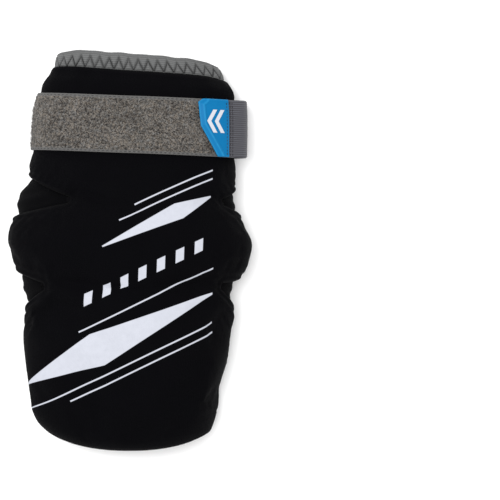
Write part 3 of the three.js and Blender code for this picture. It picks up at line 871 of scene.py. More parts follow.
def plain_plastic(name, colour, roughness):
    """Moulded plastic of one colour with a fine grain."""
    dye = Dye(name, Specular_IOR_Level=0.4)
    grain = dye.grain(dye.place(), 0.0006)
    dye.feed(
        Base_Color=dye.between(grain, tuple(c * 0.9 for c in colour), colour),
        Roughness=grain * 0.1 + roughness,
        Normal=dye.raised(grain * 0.00003, 0.6),
    )
    return dye.material


PANEL = panel_cloth()
SLEEVE = sleeve_cloth()
BINDING = tape_cloth("binding_tape", (0.042, 0.043, 0.043), (0.110, 0.112, 0.112), BINDING_RIB, 0.00012)
ELASTIC = tape_cloth("strap_elastic", (0.006, 0.006, 0.008), (0.074, 0.074, 0.090), ELASTIC_RIB, 0.00008)
PILE = pile_cloth()
PILE_YARN = yarn("pile_yarn", (0.012, 0.010, 0.009), (0.2, 0.182, 0.16), 0.85, Sheen_Weight=0.1)
DARK_THREAD = yarn("dark_thread", (0.008, 0.008, 0.009), (0.03, 0.03, 0.033))
GREY_THREAD = yarn("grey_thread", (0.016, 0.016, 0.016), (0.045, 0.045, 0.046))
RUBBER = tab_rubber()
HOOK = plain_plastic("hook_plastic", (0.012, 0.012, 0.013), 0.6)
WHITE = plain_plastic("tab_mark_white", (0.47, 0.48, 0.52), 0.5)


# Pieces

SIDE_COLUMNS = 78  # of the panel, from the crown to a side edge
EDGE_CROWDING = 1.5  # how much the panel's columns crowd towards its edges


def panel_grid(rows, columns):
    """Turns and places of the panel's grid, from its right edge over the crown to its left edge."""
    shares = 1 - (1 - np.linspace(0, 1, columns)) ** EDGE_CROWDING
    turns, places = [], []
    for y in rows:
        sides = {}
        for left in (False, True):
            wrap = float(edge_wrap(left, y))
            along = float(row_along(turn_of(left, wrap), y))
            reach = float(girth(turn_of(left, wrap), along))
            sides[left] = turn_at_girth(left, shares * reach, along)
        turn = np.concatenate([sides[False][:0:-1], sides[True]])
        turns.append(turn)
        places.append(row_along(turn, y))
    return np.array(turns), np.array(places)


def out_of_notches(rows, turns):
    """Which cells of the panel's grid lie out of the notches."""
    kept = np.ones((len(rows) - 1, turns.shape[1] - 1), bool)
    wraps = wrap_of(turns)
    for notch in NOTCH_MARKS:
        inside = (rows[:-1] > notch["y"] - NOTCH_TIP * 0.6) & (rows[1:] < notch["y"] + NOTCH_TIP * 0.6)
        side = (np.cos(turns[:, :-1] / 2 + turns[:, 1:] / 2) < 0) == notch["left"]
        beyond = np.minimum(wraps[:, :-1], wraps[:, 1:]) >= notch["tip"]
        kept[inside] &= ~(side & beyond)[:-1][inside]
    return kept


SETTLE_FRAMES = 20
SETTLE_EVERY = 2  # the settling cover has every second row and column
COVER_SLACK = 0.025  # how much longer the cover's cloth is than its form
FOAM_PRESSURE = 0.6
SWELL_CAP = 0.0022  # the farthest that a point of the cover may move


def settled(grid, held):
    """How a soft cover over foam moves from a grid of points: it swells and creases between held points."""
    rows, columns = grid.shape[:2]
    index = np.arange(rows * columns).reshape(rows, columns)
    quads = np.stack([index[:-1, :-1], index[1:, :-1], index[1:, 1:], index[:-1, 1:]], axis=-1).reshape(-1, 4)
    mesh = bpy.data.meshes.new("settling")
    mesh.from_pydata(grid.reshape(-1, 3).tolist(), [], quads.tolist())
    cover = bpy.data.objects.new("settling", mesh)
    bpy.context.scene.collection.objects.link(cover)
    group = cover.vertex_groups.new(name="held")
    group.add(np.flatnonzero(held.ravel()).tolist(), 1.0, "REPLACE")
    cloth = cover.modifiers.new("Cloth", "CLOTH")
    cloth.settings.quality = 6
    cloth.settings.mass = 0.2
    cloth.settings.tension_stiffness = 25
    cloth.settings.compression_stiffness = 25
    cloth.settings.shear_stiffness = 10
    cloth.settings.bending_stiffness = 1.2
    cloth.settings.vertex_group_mass = "held"
    cloth.settings.shrink_min = -COVER_SLACK
    cloth.settings.use_pressure = True
    cloth.settings.uniform_pressure_force = FOAM_PRESSURE
    cloth.settings.effector_weights.gravity = 0
    cloth.collision_settings.use_collision = False
    scene = bpy.context.scene
    for step in range(1, SETTLE_FRAMES + 1):
        scene.frame_set(step)
    moved = cover.evaluated_get(bpy.context.evaluated_depsgraph_get())
    after = np.empty(rows * columns * 3, np.float32)
    moved.data.vertices.foreach_get("co", after)
    shift = after.reshape(rows, columns, 3).astype(float) - grid
    bpy.data.objects.remove(cover)
    bpy.data.meshes.remove(mesh)
    scene.frame_set(1)
    length = np.linalg.norm(shift, axis=-1, keepdims=True)
    return shift * np.minimum(1, SWELL_CAP / np.maximum(length, 1e-9))


def stretched(coarse, shape):
    """A coarse grid of values spread over a finer grid."""
    rows = np.linspace(0, coarse.shape[0] - 1, shape[0])
    columns = np.linspace(0, coarse.shape[1] - 1, shape[1])
    i = np.minimum(rows.astype(int), coarse.shape[0] - 2)
    j = np.minimum(columns.astype(int), coarse.shape[1] - 2)
    down, across = (rows - i)[:, None, None], (columns - j)[None, :, None]
    upper = mix(coarse[i][:, j], coarse[i][:, j + 1], across)
    lower = mix(coarse[i + 1][:, j], coarse[i + 1][:, j + 1], across)
    return mix(upper, lower, down)


STRAP_PRESS = 0.0006  # how deep the strap sinks into the panel
STRAP_PRESS_REACH = 0.003
STRAP_LIP = 0.0009  # how far the panel bulges beside it
STRAP_LIP_AT = 0.009  # from the strap to the top of that bulge
STRAP_LIP_HALF = 0.007
STRAP_MARGIN = 0.0022  # how far past its edge the strap still holds the panel


def past_strap(y):
    """Distance from the strip of the panel that the strap covers."""
    return np.abs(y - STRAP_MIDDLE) - STRAP_WIDTH / 2 - STRAP_MARGIN


STITCH_INSET = 0.0042  # from the panel's edge to its topstitch
STITCH_GROOVE = 0.0012  # half the width of the groove that the topstitch pulls in
STITCH_SINK = 0.0008  # its depth
EDGE_LIP = 0.00035  # how far the panel's edge stands up beyond that groove
EDGE_LIP_AT = 0.0018
EDGE_LIP_HALF = 0.0011
EDGE_ROUNDING = 0.0012  # how much thinner the panel is right at its edge
EDGE_ROUND_REACH = 0.0017
PUCKER_HEIGHT = 0.00028  # of the puckers beside the topstitch
PUCKER_PITCH = 0.0065
PUCKERS_FROM_EDGE = 0.0065
PUCKER_REACH = 0.004
GATHER_HEIGHT = 0.0005  # of the gathers at the panel's upper edge
GATHER_PITCH = 0.017
GATHERS_FROM_TOP = 0.003
GATHER_REACH = 0.007
UNEVEN_HEIGHT = 0.00045  # of the foam's soft swells
UNEVEN_WAVES = [0.031, 0.043, 0.027, 0.055]
TOP_ROLL = 0.0011  # how far the panel's upper edge bulges over the binding
TOP_ROLL_LEFT = 0.0012  # how much further it does so on the left
TOP_ROLL_AT = 0.0016  # from the upper edge to where it bulges most
CREASE_REACH = 0.034  # how far the elbow's creases run in from the notches
CREASE_DEPTH = 0.0017
CREASE_HALF = 0.0042
CREASE_BANK = 0.0095  # from a crease's valley to the bank at each side of it
CREASE_BANK_HALF = 0.006
CREASE_BEND = 0.003  # how far a crease bends to and fro
CREASE_BEND_LENGTH = 0.05
HELD_EDGE = 0.0045  # how far in from its edge the panel is held by its stitches
HELD_NEAR_FLOOR = 0.004  # and how high above the floor
EDGE_EASING = 0.020  # over which the cover's swelling grows from the edge
STRAP_EASING = 0.014  # over which it grows from the strap


def panel_relief(turn, y, u, side_edge, edge):
    """What the panel's face has beyond its plain form: a stitched groove, puckers, creases and unevenness."""
    inner = smooth(edge / 0.010)
    free = smooth(past_strap(y) / 0.010)
    groove = -STITCH_SINK * bump(side_edge - STITCH_INSET, STITCH_GROOVE)
    rounding = EDGE_ROUNDING * (1 - clamp01(edge / EDGE_ROUND_REACH)) ** 2
    lip = EDGE_LIP * bump(side_edge - EDGE_LIP_AT, EDGE_LIP_HALF) - rounding
    puckers = PUCKER_HEIGHT * sine(u + y, PUCKER_PITCH) * bump(side_edge - PUCKERS_FROM_EDGE, PUCKER_REACH)
    gathers = GATHER_HEIGHT * np.sin(u * 2 * math.pi / GATHER_PITCH + 1)
    gathers = gathers * bump(PANEL_TOP - y - GATHERS_FROM_TOP, GATHER_REACH)
    creases = 0
    for notch in NOTCH_MARKS:
        past = notch["at_tip"] - u
        fade = smooth(1 - past / CREASE_REACH) * smooth((past + 0.004) / 0.006) * on_notch_side(turn, notch)
        off = np.abs(y - notch["y"] - CREASE_BEND * sine(past, CREASE_BEND_LENGTH))
        valley = bump(off, CREASE_HALF) - 0.45 * bump(off - CREASE_BANK, CREASE_BANK_HALF)
        creases = creases - CREASE_DEPTH * valley * fade
    uneven = ripple(u * np.where(np.cos(turn) < 0, 1, -1), y, UNEVEN_WAVES, 5)
    pressed = STRAP_LIP * bump(past_strap(y) - STRAP_LIP_AT, STRAP_LIP_HALF)
    pressed = pressed - STRAP_PRESS * smooth(1 - past_strap(y) / STRAP_PRESS_REACH)
    loose = puckers + creases + gathers + UNEVEN_HEIGHT * uneven * inner
    return groove + lip + loose * free + pressed * inner


def make_panel():
    """The foam-filled front, swollen by a cloth simulation between what holds it down."""
    turns, places = panel_grid(PANEL_ROWS, SIDE_COLUMNS)
    u = girth(turns, places)
    side_edge = edge_distance(turns, places)
    edge = np.minimum(side_edge, np.minimum(places + HALF_LENGTH, PANEL_TOP - places))
    seat = panel_seat(places)
    thickness = panel_thickness(turns, places) + panel_relief(turns, places, u, side_edge, edge)
    outer = place(turns, places, seat + thickness)
    inner = place(turns, places, seat)
    rolled = (TOP_ROLL - TOP_ROLL_LEFT * np.cos(turns)) * smooth(np.sin(turns) * 4)
    outer[..., 1] += rolled * bump(PANEL_TOP - places - TOP_ROLL_AT, TOP_ROLL_AT)
    every = slice(None, None, SETTLE_EVERY)
    held = (edge < HELD_EDGE) | (outer[..., 2] < HELD_NEAR_FLOOR)
    coarse = settled(outer[every, every], held[every, every])
    free = smooth(edge / EDGE_EASING) * smooth(past_strap(places) / STRAP_EASING)
    outer = outer + stretched(coarse, turns.shape) * free[..., None]
    outer[..., 2] = np.maximum(outer[..., 2], 0)
    points, faces = shell(outer, inner, kept=out_of_notches(PANEL_ROWS, turns))
    side = np.where(np.cos(turns) < 0, -1, 1)
    cloth = np.stack([u * side, places, edge], axis=-1).reshape(-1, 3)
    piece = make_piece("padded_panel", points, faces, PANEL, {"cloth": np.tile(cloth, (2, 1))})
    drop_unused_points(piece)
    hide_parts("padded_front")


SLEEVE_COLUMNS = 84  # from the crown to the middle of the back, on each side
SLEEVE_FINE_AT = [LOWER_RIM + BINDING_WIDTH, *NOTCH_ROWS]
SLEEVE_ROWS = rows_between(LOWER_RIM, UPPER_RIM, ROW_STEP, SLEEVE_FINE_STEP, SLEEVE_FINE_AT)
NOTCH_FILL = 14  # rows of the sleeve's cloth between those that part at a notch
NOTCH_FOLD = 0.0085  # from fold to fold of that cloth
NOTCH_FOLD_HEIGHT = 0.0005
RIM_GATHER = 0.0005  # depth of the gathers beside the bindings
RIM_GATHER_PITCH = 0.0075
BACK_FOLD = 0.0022  # depth of the soft folds on the back
BACK_FOLD_WAVES = [0.034, 0.052, 0.041]
BACK_FOLDS_TO = 0.115  # how far up the back they reach


def rows_over_notches(rows, places):
    """The sleeve's rows, with more of them where they part at the notches."""
    filled = [places[0]]
    for k in range(1, len(rows)):
        parted = any(rows[k - 1] < notch["y"] <= rows[k] for notch in NOTCH_MARKS)
        steps = np.linspace(0, 1, NOTCH_FILL + 1 if parted else 2)[1:]
        filled.extend(mix(places[k - 1], places[k], t) for t in steps)
    return np.array(filled)


def sleeve_relief(turn, y, u):
    """Wrinkles of the stretch cloth: folds in the notches, gathers at the rims and soft folds on the back."""
    side = np.where(np.cos(turn) < 0, 1, -1)
    total = 0
    for notch in NOTCH_MARKS:
        opening = clamp01((u - notch["at_tip"]) / (notch["at_edge"] - notch["at_tip"]))
        half = NOTCH_TIP / 2 + opening * (notch["up"] + notch["down"]) / 2
        from_middle = y - notch["y"] - opening * (notch["up"] - notch["down"]) / 2
        inside = clamp01(1 - (from_middle / half) ** 2) * smooth(opening * 3) * on_notch_side(turn, notch)
        folds = NOTCH_FOLD_HEIGHT * sine(y + 0.25 * u, NOTCH_FOLD)
        total = total + (notch["swell"] + folds) * inside * smooth(1 + 1.5 * np.sin(turn))
    on_back = smooth(-2.2 * np.sin(turn))
    gathers = bump(y - LOWER_RIM - BINDING_WIDTH, 0.008) + bump(UPPER_RIM - BINDING_WIDTH - y, 0.010)
    total = total - RIM_GATHER * gathers * (1 + sine(side * u, RIM_GATHER_PITCH)) * on_back
    folds = np.maximum(0, ripple(side * u, y * 0.6, BACK_FOLD_WAVES, 8)) ** 2
    fade = smooth((y - LOWER_RIM - 0.02) / 0.03) * smooth((BACK_FOLDS_TO - y) / 0.02)
    return total - BACK_FOLD * folds * on_back * fade


SEAM_TOP = 0.018  # how far right of the middle the back's seam lies at its upper end
SEAM_LOW = 0.010
SEAM_WIDTH = 0.0046
SEAM_DEPTH = 0.0007
SEAM_RIDGE = 0.0005  # how far the cloth stands up at both sides of the seam
SEAM_RIDGE_HALF = 0.0008
SEAM_PITCH = 0.0018  # from stitch to stitch
SEAM_THREAD = 0.0002
SEAM_FROM_RIM = 0.030  # where the stitches start, above the lower rim
BACK_HEIGHT = 0.012  # points of the sleeve below this height are on its back


def seam_x(y):
    return mix(SEAM_LOW, SEAM_TOP, smooth((y + 0.05) / 0.16))


def make_sleeve():
    """The stretch sleeve, with a channel up its back for the seam; gives its outer points."""
    middles = np.linspace(0, 1, SLEEVE_COLUMNS + 1)
    sides = {}
    for left in (True, False):
        sides[left] = turn_at_girth(left, middles * girth(turn_of(left, math.pi), 0.0), 0.0)
    turn = np.concatenate([sides[True][:-1], sides[False][:0:-1]])[None, :]
    places = row_along(np.broadcast_to(turn, (len(SLEEVE_ROWS), turn.shape[1])), SLEEVE_ROWS[:, None])
    places = rows_over_notches(SLEEVE_ROWS, places)
    turns = np.broadcast_to(turn, places.shape)
    u = girth(turns, places)
    relief = sleeve_relief(turns, places, u)
    outer = place(turns, places, relief)
    on_back = np.sin(turns) < -0.5
    off_seam = np.abs(outer[..., 0] - seam_x(outer[..., 1]))
    ridges = SEAM_RIDGE * bump(off_seam - SEAM_WIDTH / 2, SEAM_RIDGE_HALF)
    channel = (SEAM_DEPTH * smooth(1.4 - off_seam / SEAM_WIDTH) + ridges) * on_back
    outer[..., 2] += channel
    inner = place(turns, places, relief - SLEEVE_WALL)
    inner[..., 2] += channel
    points, faces = shell(outer, inner, closed=True)
    side = np.where(np.cos(turns) < 0, 1, -1)
    cloth = np.stack([u * side, places, u * 0], axis=-1).reshape(-1, 3)
    marks = {"cloth": np.tile(cloth, (2, 1))}
    piece = make_piece("stretch_sleeve", points, faces, SLEEVE, marks)
    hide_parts("sleeve")
    return outer


def make_back_seam(sleeve_points):
    """The flat seam up the middle of the back: two rows of stitches with threads that cross between them."""
    points = sleeve_points.reshape(-1, 3)
    low = points[points[:, 2] < BACK_HEIGHT]
    ys = np.arange(LOWER_RIM + SEAM_FROM_RIM, STRAP_MIDDLE - STRAP_WIDTH / 2 - 0.002, SEAM_PITCH)

    def on_cloth(x, y):
        near = low[np.argsort((low[:, 0] - x) ** 2 + (low[:, 1] - y) ** 2)[:4]]
        return near[:, 2].mean()

    paths = []
    for y in ys:
        middle = seam_x(y)
        for lean in (-1, 1):
            start = middle - SEAM_WIDTH / 2 * lean
            end = middle + SEAM_WIDTH / 2 * lean
            line = [(mix(start, end, t), y + t * SEAM_PITCH) for t in np.linspace(0, 1, 5)]
            paths.append([(x, v, max(0.0002, on_cloth(x, v) - 0.00015)) for x, v in line])
    shades = chance.uniform(0.2, 1, len(paths))
    make_threads("back_seam_threads", paths, SEAM_THREAD, DARK_THREAD, shades)


BINDING_COLUMNS = 900
LEG_ROWS = 14  # down the tape's outer leg
BACK_ROWS = 4  # down its inner leg
ARC = np.linspace(0, math.pi, 9)  # over the rim
TAPE_UNEVEN = 0.0002
ZIGZAG_PITCH = 0.0067
ZIGZAG_TOP = 0.0027  # from the rim to the zigzag's points
ZIGZAG_LOW = 0.0096
ZIGZAG_DEPTH = 0.0013
ZIGZAG_HALF = 0.0008  # half the width of the groove that it pulls
ZIGZAG_THREAD = 0.0003
NEEDLE_HOLE = 0.0007  # half the width of the painted shade at each needle pit


def zigzag_groove(s, pitches):
    """How much the zigzag pulls the tape down, from 0 to 1, at a distance from the rim."""
    rise = ZIGZAG_LOW - ZIGZAG_TOP
    line = ZIGZAG_TOP + rise * 2 * np.abs(pitches % 1 - 0.5)
    lean = rise * 2 / ZIGZAG_PITCH
    return bump((s - line) / math.hypot(1, lean), ZIGZAG_HALF)


def binding_turns(rim):
    """Turns at equal lengths round a rim, and the length round it."""
    turn = np.linspace(0, 2 * math.pi, 2001)
    ring = place(turn, rim, 0.001)
    lengths = np.concatenate([[0], np.cumsum(np.linalg.norm(np.diff(ring, axis=0), axis=1))])
    at = np.linspace(0, lengths[-1], BINDING_COLUMNS + 1)[:-1]
    return np.interp(at, lengths, turn), at, lengths[-1]


def make_binding(name, node, rim, outward, pucker, sway):
    """Elastic tape folded over a rim, gathered by a zigzag of thread."""
    turns, at, length = binding_turns(rim)
    count = round(length / ZIGZAG_PITCH)
    outside = GAP + BINDING_THICKNESS
    inside = -SLEEVE_WALL - outside
    half = (outside - inside) / 2
    leg = [(outside, rim - outward * BINDING_WIDTH * (1 - k / LEG_ROWS)) for k in range(LEG_ROWS)]
    over = [(outside - half + half * math.cos(a), rim + outward * outside * math.sin(a)) for a in ARC]
    back = [(inside, rim - outward * BINDING_WIDTH * k / BACK_ROWS) for k in range(1, BACK_ROWS + 1)]
    profile = np.array(leg + over + back)
    seat_half = (SLEEVE_WALL + 2 * GAP) / 2
    seat_leg = [(GAP, y) for _, y in leg]
    seat_over = [(GAP - seat_half + seat_half * math.cos(a), rim + outward * GAP * math.sin(a)) for a in ARC]
    seat_back = [(-SLEEVE_WALL - GAP, y) for _, y in back]
    lining = np.array(seat_leg + seat_over + seat_back)
    from_rim = np.abs(profile[:, 1] - rim)[:, None]
    share = from_rim[:, 0] / BINDING_WIDTH
    on_outer = (profile[:, 0] > 0)[:, None] * smooth(from_rim / 0.001)
    pitches = (at / length * count)[None, :]
    rounded = 1 - clamp01((from_rim / BINDING_WIDTH - 0.45) / 0.55) ** 4 * 1.6
    swelling = (pucker * rounded - ZIGZAG_DEPTH * zigzag_groove(from_rim, pitches)) * on_outer
    swelling = swelling + TAPE_UNEVEN * ripple(at, at * 0, [0.017, 0.011, 0.026], 6)[None, :] * on_outer
    ripple_along = sway * ripple(at, at * 0, [0.021, 0.034, 0.013], 3)[None, :] * smooth(1 - share)[:, None]
    grids = []
    for line, relief in ((profile, swelling), (lining, 0)):
        offset = line[:, 0][:, None] + relief
        y = line[:, 1][:, None] + ripple_along * outward
        grids.append(place(np.broadcast_to(turns, y.shape), y, offset))
    order = slice(None) if outward > 0 else slice(None, None, -1)
    points, faces = shell(grids[0][order], grids[1][order], closed=True)
    around = np.broadcast_to(at, swelling.shape)
    run = np.cumsum(np.concatenate([[0], np.linalg.norm(np.diff(profile, axis=0), axis=1)]))
    to_point = np.abs(pitches % 1 - 0.5) * ZIGZAG_PITCH
    # Painted shade: a darker colour in the zigzag's grooves and at its needle pits, which the tape's material
    # reads.
    painted_pit_shade = bump(from_rim - ZIGZAG_TOP, NEEDLE_HOLE * 1.2) * bump(to_point, NEEDLE_HOLE)
    painted_groove_shade = clamp01(0.3 * zigzag_groove(from_rim, pitches) + 0.9 * painted_pit_shade) * on_outer
    cloth = np.stack([around, np.broadcast_to(run[:, None], swelling.shape), painted_groove_shade], axis=-1)[order]
    marks = {"cloth": np.tile(cloth.reshape(-1, 3), (2, 1))}
    piece = make_piece(name, points, faces, BINDING, marks)
    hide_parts(node)
    make_zigzag(name + "_zigzag", rim, outward, pucker, turns, at, length, count)


def make_zigzag(name, rim, outward, pucker, turns, at, length, count):
    """A zigzag row of thread that holds the tape down."""
    paths = []
    ends = (ZIGZAG_LOW, ZIGZAG_TOP)
    wrap_at = np.append(at, length)
    wrap_turn = np.append(turns, turns[0] + 2 * math.pi)
    for k in range(2 * count):
        from_end, to_end = ends[k % 2], ends[(k + 1) % 2]
        t = np.linspace(0, 1, 7)
        here = (k + t) / (2 * count) * length
        turn = np.interp(here, wrap_at, wrap_turn)
        y = rim - outward * mix(from_end, to_end, t)
        sunk = 0.0003 * (1 - np.sin(t * math.pi))
        paths.append(place(turn, y, GAP + BINDING_THICKNESS + pucker - ZIGZAG_DEPTH + 0.00025 - sunk))
    shades = chance.uniform(0, 1, len(paths))
    make_threads(name, paths, ZIGZAG_THREAD, GREY_THREAD, shades)


def seam_turns():
    """Turns of the loop band's end under the back and of the elastic's start."""
    fine = np.linspace(math.pi, 1.5 * math.pi, 1500)
    line = np.stack(section_point(fine, STRAP_MIDDLE, GAP + PANEL_EDGE), axis=1)
    lengths = np.concatenate([[0], np.cumsum(np.linalg.norm(np.diff(line, axis=0), axis=1))])
    return np.interp(LOOP_UNDER, lengths, fine), np.interp(LOOP_UNDER + GAP, lengths, fine)


ELASTIC_STEP = 0.0016  # from column to column
ELASTIC_FACE = STRAP_THICKNESS - 0.0001  # height of its face over its seat, without the ribs
ELASTIC_EDGE_DROP = 0.0006  # how much lower its edges are
ELASTIC_EDGE_HALF = 0.0005
RIB_HEIGHT = 0.00009
ELASTIC_UNEVEN = 0.00012
STITCH_SHOWS = 0.00005  # how far a stitch's middle line lies above the face
STITCH_ROWS_AT_TAB = [0.0013, 0.0032]  # from the elastic's end
STITCH_ROWS_ON_BACK = [0.0016, 0.0036]  # from its start
SEWN_PITCH = 0.0024
SEWN_THREAD = 0.00024


def elastic_seat(turn, y):
    """The elastic bows clear of the panel at the right side and rises onto the loop band's end."""
    above = np.degrees(turn) - 360
    bow = np.cos(math.pi / 2 * np.minimum(1, np.abs(above - STANDOFF_TURN) / STANDOFF_SPREAD))
    fade = smooth((TAB_TURN - above) / (TAB_TURN - STANDOFF_TURN))
    on_loop = smooth((above + STANDOFF_TURN) / (LOOP_END_TURN + STANDOFF_TURN))
    return strap_seat(turn, y) + on_loop * TAB_SEAT + STANDOFF * smooth(bow) * fade


def strap_turns(start, end, seat, step):
    """Turns at equal steps along the strap's middle line, and the lengths to them."""
    fine = np.linspace(start, end, 1200)
    line = place_on_strap(fine, 0.0, seat, 0.0)
    lengths = np.concatenate([[0], np.cumsum(np.linalg.norm(np.diff(line, axis=0), axis=1))])
    at = np.linspace(0, lengths[-1], round(lengths[-1] / step) + 1)
    return np.interp(at, lengths, fine), at


def band(name, node, turns, at, acrosses, seat, heights, material):
    """A flat band round the pad, with the heights of its face over its seat."""
    grid_turn = np.broadcast_to(turns, (len(acrosses), len(turns)))
    across = np.broadcast_to(np.asarray(acrosses)[:, None], grid_turn.shape)
    outer = place_on_strap(grid_turn, across, seat, heights)
    inner = place_on_strap(grid_turn, across, seat, 0.0)
    points, faces = shell(outer, inner)
    cloth = np.stack([np.broadcast_to(at, across.shape), across, across * 0], axis=-1).reshape(-1, 3)
    piece = make_piece(name, points, faces, material, {"cloth": np.tile(cloth, (2, 1))})
    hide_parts(node)
    return outer


LOOP_STEP = 0.0012  # from column to column
SELVEDGE = 0.0011  # from the loop band's edge to its edge stitches
EDGE_TURN = 0.0003  # width of the rounded edge
PILE_FACE = 0.0016  # height of the pile's ground over the band's seat
SELVEDGE_FACE = 0.0013
EDGE_DROP = 0.0005
LOOP_UNEVEN = 0.00022
FIBRES = 5200
FIBRE_LENGTH = 0.0021
FIBRE_RADIUS = 0.00009


def make_loop_band(end_turn):
    """The fuzzy half of the strap, with its pile and its edge stitches."""
    turns, at = strap_turns(math.radians(LOOP_END_TURN), end_turn, strap_seat, LOOP_STEP)
    half = STRAP_WIDTH / 2
    edges = np.array([half, half - EDGE_TURN, half - SELVEDGE])
    acrosses = np.concatenate([-edges, np.linspace(-PILE_HALF, PILE_HALF, 36), edges[::-1]])
    from_middle = np.abs(acrosses)
    profile = np.where(from_middle > PILE_HALF + 0.0001, SELVEDGE_FACE, PILE_FACE)
    profile = profile - EDGE_DROP * (from_middle > half - 0.0001)
    uneven = LOOP_UNEVEN * ripple(at[None, :], acrosses[:, None], [0.0031, 0.0047, 0.0023], 21)
    heights = profile[:, None] + uneven * (from_middle < PILE_HALF)[:, None]
    outer = band("loop_band_cloth", "loop_band", turns, at, acrosses, strap_seat, heights, PILE)
    make_fibres(outer[len(edges) : -len(edges)])
    for side, edge in (("lower", -1), ("upper", 1)):
        line = place_on_strap(turns, edge * (half - SELVEDGE), strap_seat, SELVEDGE_FACE + STITCH_SHOWS)
        make_stitches("loop_band_stitches_" + side, line, 0.0031, 0.62, 0.0002)


def make_fibres(grid):
    """The band's pile: short loops of fibre that rise from its ground and lie over."""
    normals = normals_of(grid)
    rows, columns = grid.shape[:2]
    i = chance.integers(1, rows - 1, FIBRES)
    j = chance.integers(1, columns - 1, FIBRES)
    jitter = chance.uniform(-0.0007, 0.0007, (FIBRES, 3))
    root = grid[i, j] + jitter
    normal = normals[i, j]
    heading = np.cross(normal, chance.normal(size=(FIBRES, 3)))
    heading /= np.linalg.norm(heading, axis=1, keepdims=True)
    length = FIBRE_LENGTH * chance.uniform(0.6, 1.3, FIBRES)[:, None]
    height = chance.uniform(0.0003, 0.0009, FIBRES)[:, None]
    curl = np.cross(normal, heading) * chance.uniform(-0.0006, 0.0006, FIBRES)[:, None]
    paths = []
    for t in np.linspace(0, 1, 5):
        lift = math.sin(t * math.pi) * height - 0.0003
        paths.append(root + heading * length * (t - 0.5) + curl * math.sin(t * math.pi) + normal * lift)
        paths[-1][:, 2] = np.maximum(paths[-1][:, 2], 0.0001)
    shades = chance.beta(1.6, 1.9, FIBRES)
    fibres = np.stack(paths, axis=1)
    make_threads("loop_band_pile", fibres, FIBRE_RADIUS, PILE_YARN, shades, sides=3)


def make_elastic(start_turn):
    """The smooth half of the strap, with two rows of stitches at each end."""
    half = STRAP_WIDTH / 2
    turns, at = strap_turns(start_turn, 2 * math.pi + math.radians(TAB_TURN), elastic_seat, ELASTIC_STEP)
    acrosses = np.linspace(-half, half, 161)
    profile = ELASTIC_FACE - ELASTIC_EDGE_DROP * bump(half - np.abs(acrosses), ELASTIC_EDGE_HALF)
    ribs = RIB_HEIGHT * np.cos(acrosses * 2 * math.pi / ELASTIC_RIB)
    uneven = ELASTIC_UNEVEN * ripple(at[None, :], acrosses[:, None], [0.02, 0.03], 4)
    heights = (profile + ribs)[:, None] + uneven
    seat, slot_name = elastic_seat, "strap_elastic"
    band("elastic_band", "elastic_strap", turns, at, acrosses, seat, heights, ELASTIC)
    along = np.linspace(-half + 0.001, half - 0.001, 60)
    insets = [at[-1] - inset for inset in STITCH_ROWS_AT_TAB] + STITCH_ROWS_ON_BACK
    for k, inset in enumerate(insets):
        turn = np.full(len(along), np.interp(inset, at, turns))
        line = place_on_strap(turn, along, seat, STRAP_THICKNESS + STITCH_SHOWS)
        make_stitches(f"elastic_stitches_{k}", line, SEWN_PITCH, 0.68, SEWN_THREAD)


def tab_turn_table():
    """Turns at lengths past the elastic's end, along the strap's middle line."""
    fine = np.linspace(math.radians(TAB_TURN - 12), math.radians(TAB_TURN + 40), 1500)
    line = np.stack(section_point(fine, STRAP_MIDDLE, TAB_SEAT + PAD_THICKNESS / 2), axis=1)
    lengths = np.concatenate([[0], np.cumsum(np.linalg.norm(np.diff(line, axis=0), axis=1))])
    return lengths - np.interp(math.radians(TAB_TURN), fine, lengths), fine


TAB_SIDE_ROUNDING = 0.0008
TAB_FIELD = 0.00035  # depth of the shallow field in its face
TAB_FIELD_INSET = 0.0016  # from the tab's sides
TAB_FIELD_EDGE = 0.0006
TAB_SEAM = 0.0019  # from the tab's root to its stitches
WORN_RIM = 0.0006  # width of the paler line along the tab's edges


def tab_reach(across):
    return TAB_LENGTH * np.interp(across / (STRAP_WIDTH / 2), TAB_OUTLINE["across"], TAB_OUTLINE["reach"])


def tab_height(gone, across):
    """Height of the tab's face over its underside: bevelled towards the free edge, with a shallow field."""
    half = STRAP_WIDTH / 2
    line = np.stack([tab_reach(np.linspace(-half, half, 41)), np.linspace(-half, half, 41)], axis=1)
    to_edge = distance_to_line(gone, across, line)
    to_side = half - np.abs(across)
    slope = clamp01(to_edge / TAB_BEVEL)
    round_side = np.sqrt(1 - (1 - clamp01(to_side / TAB_SIDE_ROUNDING)) ** 2)
    height = mix(TAB_EDGE, TAB_THICKNESS, slope) - 0.0005 * (1 - round_side)
    field = smooth((to_edge - TAB_BEVEL - TAB_SIDE_ROUNDING) / TAB_FIELD_EDGE)
    field = field * smooth((to_side - TAB_FIELD_INSET) / TAB_FIELD_EDGE)
    return height - TAB_FIELD * field, to_edge, to_side


def tab_seat(turn, y):
    return strap_seat(turn, y) + TAB_SEAT


def make_tab():
    """The bevelled rubber tab, with its chevrons and its stitches."""
    lengths, fine = tab_turn_table()
    half = STRAP_WIDTH / 2
    across = np.linspace(-half, half, 81)[:, None]
    shares = np.concatenate([np.linspace(0, 0.8, 34), np.linspace(0.8, 1, 26)[1:]])[None, :]
    gone = mix(GAP, tab_reach(across), shares)
    height, to_edge, to_side = tab_height(gone, np.broadcast_to(across, gone.shape))
    turn = np.interp(gone, lengths, fine)
    outer = place_on_strap(turn, np.broadcast_to(across, gone.shape), tab_seat, height)
    inner = place_on_strap(turn, np.broadcast_to(across, gone.shape), tab_seat, 0.0)
    points, faces = shell(outer, inner)
    worn = bump(np.minimum(np.abs(to_edge - TAB_BEVEL), to_edge), WORN_RIM) + 0.6 * bump(to_side, WORN_RIM)
    marks = {"shade": np.tile(clamp01(worn).ravel(), 2)}
    piece = make_piece("pull_tab_rubber", points, faces, RUBBER, marks)
    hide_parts("pull_tab")
    make_tab_mark(lengths, fine)
    make_tab_seam(lengths, fine)


